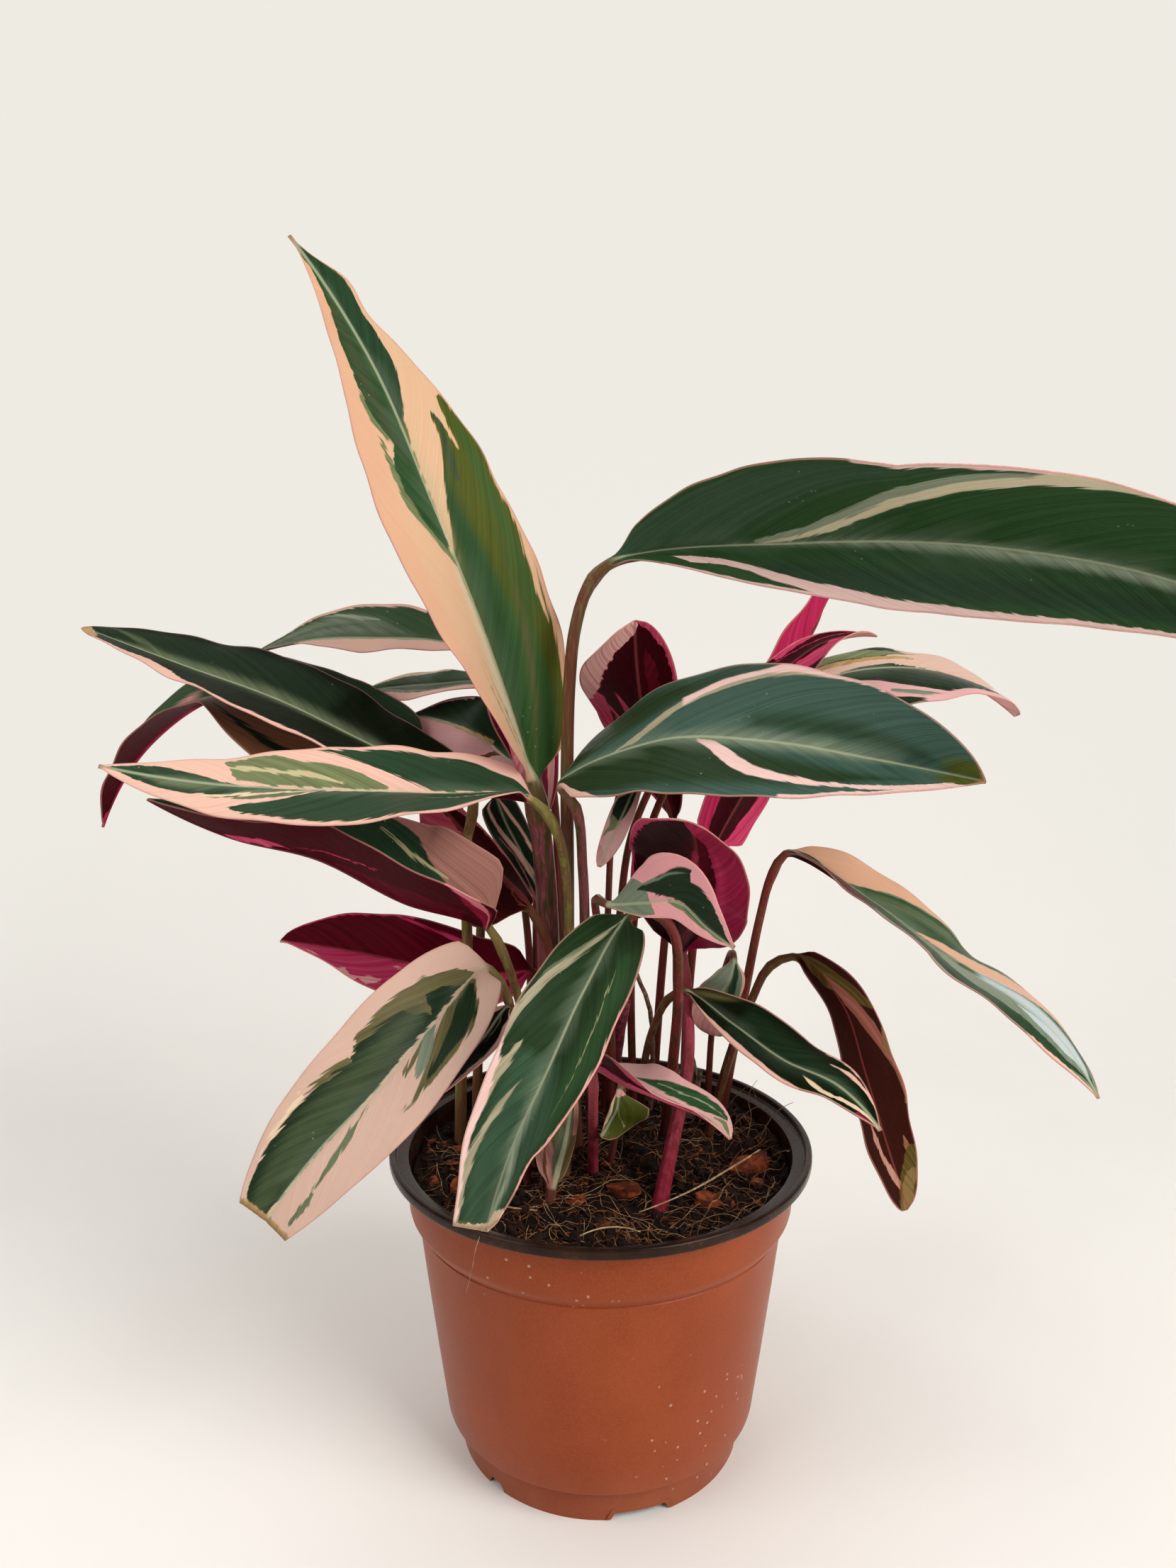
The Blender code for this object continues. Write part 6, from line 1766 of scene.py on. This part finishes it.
def build_chip(name, chip, material):
    """A splintered flake of bark in uneven layers, where its solid lies."""
    (x, y, z), (length, width, thickness), turn, tilt = chip
    turn, tilt = math.radians(turn), math.radians(tilt)
    points = []
    turns = 2 * math.pi * np.arange(len(CHIP_RADII) + 1) / len(CHIP_RADII)
    for layer in range(CHIP_LAYERS):
        level = -1 + 2 * layer / (CHIP_LAYERS - 1)
        for k in range(CHIP_CORNERS):
            angle = 2 * math.pi * k / CHIP_CORNERS
            reach = np.interp(angle, turns, CHIP_RADII + CHIP_RADII[:1])
            torn = noise.noise(Vector((5 * math.cos(angle) + x, 5 * math.sin(angle) + y, 1.3 * layer)))
            split = noise.noise(Vector((20 * math.sin(angle), x + 2.7 * (layer // 2), y)))
            reach *= 0.97 + 0.16 * torn * abs(math.cos(angle)) + 0.07 * split
            px, py = length * reach * math.cos(angle), width * reach * math.sin(angle)
            pz = thickness * (0.9 * level + 0.15 * math.cos(2 * angle) + 0.22 * torn)
            px, pz = px * math.cos(tilt) - pz * math.sin(tilt), px * math.sin(tilt) + pz * math.cos(tilt)
            px, py = px * math.cos(turn) - py * math.sin(turn), px * math.sin(turn) + py * math.cos(turn)
            points.append((x + px, y + py, z + pz))
    faces = closed_faces(CHIP_LAYERS, CHIP_CORNERS)
    piece = new_piece(name + "_flake", points, faces, "bark", material, smooth=False)
    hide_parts(name)


def build_stub(material):
    """The woody base of old stems, cut off and dried, with split and fraying ends."""
    parts = [tube(STUB_BASE, STUB_BASE_RADII, 16, 2.0, 0.1, 1.0)]
    for number, (points, foot_radius, top_radius) in enumerate(STUB_STEMS):
        parts.append(tube(points, (foot_radius * 1.1, foot_radius, top_radius), 12, 1.5, 0.14, number))
        top = np.array(points[-1], float)
        lean = unit(top - np.array(points[-2], float))
        for shred in range(SHREDS):
            angle = 2 * math.pi * shred / SHREDS + number
            out = np.array([math.cos(angle), math.sin(angle), 0])
            edge = top + top_radius * 0.8 * out - 2 * lean
            middle = edge + 2 * lean + 0.3 * out
            end = middle + (1.6 + shred % 3) * lean * 0.6
            parts.append(tube([edge, middle, end], (0.35, 0.3, 0.12), 5, 1.0))
    stub = new_piece("dried_stub", *gather(parts), "dry_stem", material)
    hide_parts("dry_stub")


def build_stalk(name, node, form, slot, material, wobble):
    stalk = new_piece(name, *tube(*form, 20, 2.0, wobble, 0.6), slot, material)
    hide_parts(node)


# What makes the waves of each leaf's margin its own.
WAVE_SEED_STEP = 1.9


def build_leaves(groups):
    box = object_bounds()
    for number, (name, spec) in enumerate(LEAVES.items()):
        rings, facts = leaf_surface(spec, WAVE_SEED_STEP * number)
        faces = closed_faces(len(rings), rings.shape[1])
        if name in BACK_TO_FRONT:
            facts["under"] = 1 - facts["under"]
        material = leaf_material(name, groups, number)
        slot = "leaf_purple" if name in PURPLE_LEAVES else "leaf_green"
        piece = new_piece(name + "_blade", rings, faces, slot, material, facts, box=box)
        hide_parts(name)


AIR = (0.860, 0.832, 0.770)
PAPER = (0.88, 0.868, 0.84)
PAPER_ROUGHNESS = 0.8
AMBIENT = (1.0, 0.98, 0.95)
AMBIENT_STRENGTH = 0.15


def show_mix(sheet, share, near, far, output):
    """Sends the mix of two shaders to the output node."""
    mixed = sheet.add("ShaderNodeMixShader", {0: share, 1: near, 2: far}).outputs[0]
    set_inputs(sheet.tree, sheet.tree.nodes[output], {"Surface": mixed})


def seen_directly(sheet):
    return sheet.add("ShaderNodeLightPath").outputs["Is Camera Ray"]


def paper_material():
    """Pale paper that goes over into the plain air of the studio away from the plant."""
    material, sheet, shader = new_material("pale paper", 0.3)
    place = sheet.place()
    cloud = sheet.noise(place, 6.0, 3.0)
    darker = tuple(0.97 * part for part in PAPER)
    colour = sheet.mix(sheet.remap(cloud, 0.3, 0.7), PAPER, darker)
    set_inputs(sheet.tree, shader, {"Base Color": colour, "Roughness": PAPER_ROUGHNESS})
    distance = sheet.add("ShaderNodeVectorMath", {0: place}, operation="LENGTH").outputs["Value"]
    share = sheet.times(sheet.remap(distance, 0.42, 0.95), seen_directly(sheet))
    air = sheet.add("ShaderNodeEmission", {"Color": AIR, "Strength": 1.0}).outputs[0]
    show_mix(sheet, share, shader.outputs[0], air, "Material Output")
    return material


def build_stage():
    """A plain pale floor that curves up into a plain pale wall, in metres."""
    front, wall, top, half_width, bend = -1.6, 0.75, 2.2, 2.6, 0.35
    turns = np.linspace(0, math.pi / 2, 13)
    line = [(front, 0.0)]
    line += [(wall - bend + bend * math.sin(a), bend - bend * math.cos(a)) for a in turns]
    line.append((wall, top))
    points = [(side * half_width, y, z) for side in (-1, 1) for y, z in line]
    faces = [(k, k + 1, len(line) + k + 1, len(line) + k) for k in range(len(line) - 1)]
    mesh = bpy.data.meshes.new("studio_sweep")
    mesh.from_pydata(points, [], faces)
    mesh.materials.append(paper_material())
    mesh.polygons.foreach_set("use_smooth", [True] * len(mesh.polygons))
    sweep = place_object("studio_sweep", mesh)


# Each light's place, width and height in metres, power and colour.
LIGHTS = {
    "window": ((0.85, -0.75, 0.85), (0.8, 0.9), 17.0, (1.0, 0.97, 0.93)),
    "room": ((-1.0, -0.7, 0.9), (1.0, 1.0), 7.6, (1.0, 0.97, 0.94)),
    "ceiling": ((-0.5, -0.1, 1.6), (1.0, 1.0), 6.6, (1.0, 0.98, 0.96)),
}
LIT_PLACE = (0.0, 0.0, 0.22)


def build_lights():
    for name, (place, size, power, colour) in LIGHTS.items():
        light = bpy.data.lights.new(name, "AREA")
        light.shape = "RECTANGLE"
        light.size, light.size_y = size
        light.energy = power
        light.color = colour
        lamp = place_object(name, light)
        lamp.location = place
        lamp.rotation_euler = (Vector(LIT_PLACE) - Vector(place)).to_track_quat("-Z", "Y").to_euler()


def build_world():
    """A weak light from all round; the camera itself sees the studio's plain air."""
    world = bpy.data.worlds.new("studio air")
    world.use_nodes = True
    sheet = Sheet(world.node_tree)
    ambient = world.node_tree.nodes["Background"]
    set_inputs(sheet.tree, ambient, {"Color": AMBIENT, "Strength": AMBIENT_STRENGTH})
    air = sheet.add("ShaderNodeBackground", {"Color": AIR, "Strength": 1.0}).outputs[0]
    show_mix(sheet, seen_directly(sheet), ambient.outputs[0], air, "World Output")
    bpy.context.scene.world = world


def build_camera():
    camera = bpy.data.cameras.new("photograph")
    camera.sensor_fit = "AUTO"
    camera.sensor_width = 36.0
    camera.lens = CAMERA_LENS
    camera.clip_start = 0.01
    holder = place_object("photograph", camera)
    holder.location = Vector(CAMERA_PLACE) * MM
    holder.rotation_euler = (math.radians(90 - CAMERA_PITCH), 0.0, 0.0)
    bpy.context.scene.camera = holder


def build_loose_matter():
    """Crumbs, splinters, fibres, rootlets, straws and root hairs on the soil."""
    make_crumbs("peat_crumbs", soil_material("peat crumbs"), CRUMBS, (0.5, 2.8), flatness=0.65, seed=11)
    make_crumbs("bark_splinters", dry_material("red bark"), SPLINTERS, (1.2, 4.2), flatness=0.3, seed=31)
    make_fibres("coir_fibres", dry_material("coir"), FIBRES, (8, 38), radius=0.13, lift=0.9, seed=23)
    make_fibres(
        "pale_rootlets", dry_material("pale rootlets"), ROOTLETS, (12, 60), radius=0.11, lift=1.3, seed=47)
    straws = [tube(points, radii, 8, 3.0, 0.08) for points, radii in STRAWS]
    new_piece("pale_straws", *gather(straws), "soil", dry_material("straw"))
    hairs = [tube(points, (radius, radius, 0.6 * radius), 5, 2.0) for points, radius in ROOT_HAIRS]
    new_piece("root_hairs", *gather(hairs), "soil", dry_material("root hair"))


def build_old_growth():
    """The bark chips, the dried stub and the two withered stems."""
    bark = dry_material("bark")
    for name, chip in BARK_CHIPS.items():
        build_chip(name, chip, bark)
    build_stub(dry_material("dry wood"))
    build_stalk(
        "withered_stalk", "withered_stem", WITHERED_STEM, "dry_stem", dry_material("withered stem"), 0.12)
    build_stalk("cut_stalk", "cut_sheath", CUT_SHEATH, "leaf_purple", dry_material("crimson sheath"), 0.04)


def main():
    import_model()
    groups = {
        "ragged edge": ragged_edge_group(), "marking": marking_group(),
        "leaf skin": leaf_skin_group(), "stem skin": stem_skin_group(),
    }
    make_pot(pot_material(), lip_material())
    make_soil(soil_material("peat"))
    build_loose_matter()
    build_old_growth()
    build_leaves(groups)
    build_stage()
    build_lights()
    build_world()
    build_camera()
    bpy.context.scene.view_settings.view_transform = "Standard"


main()
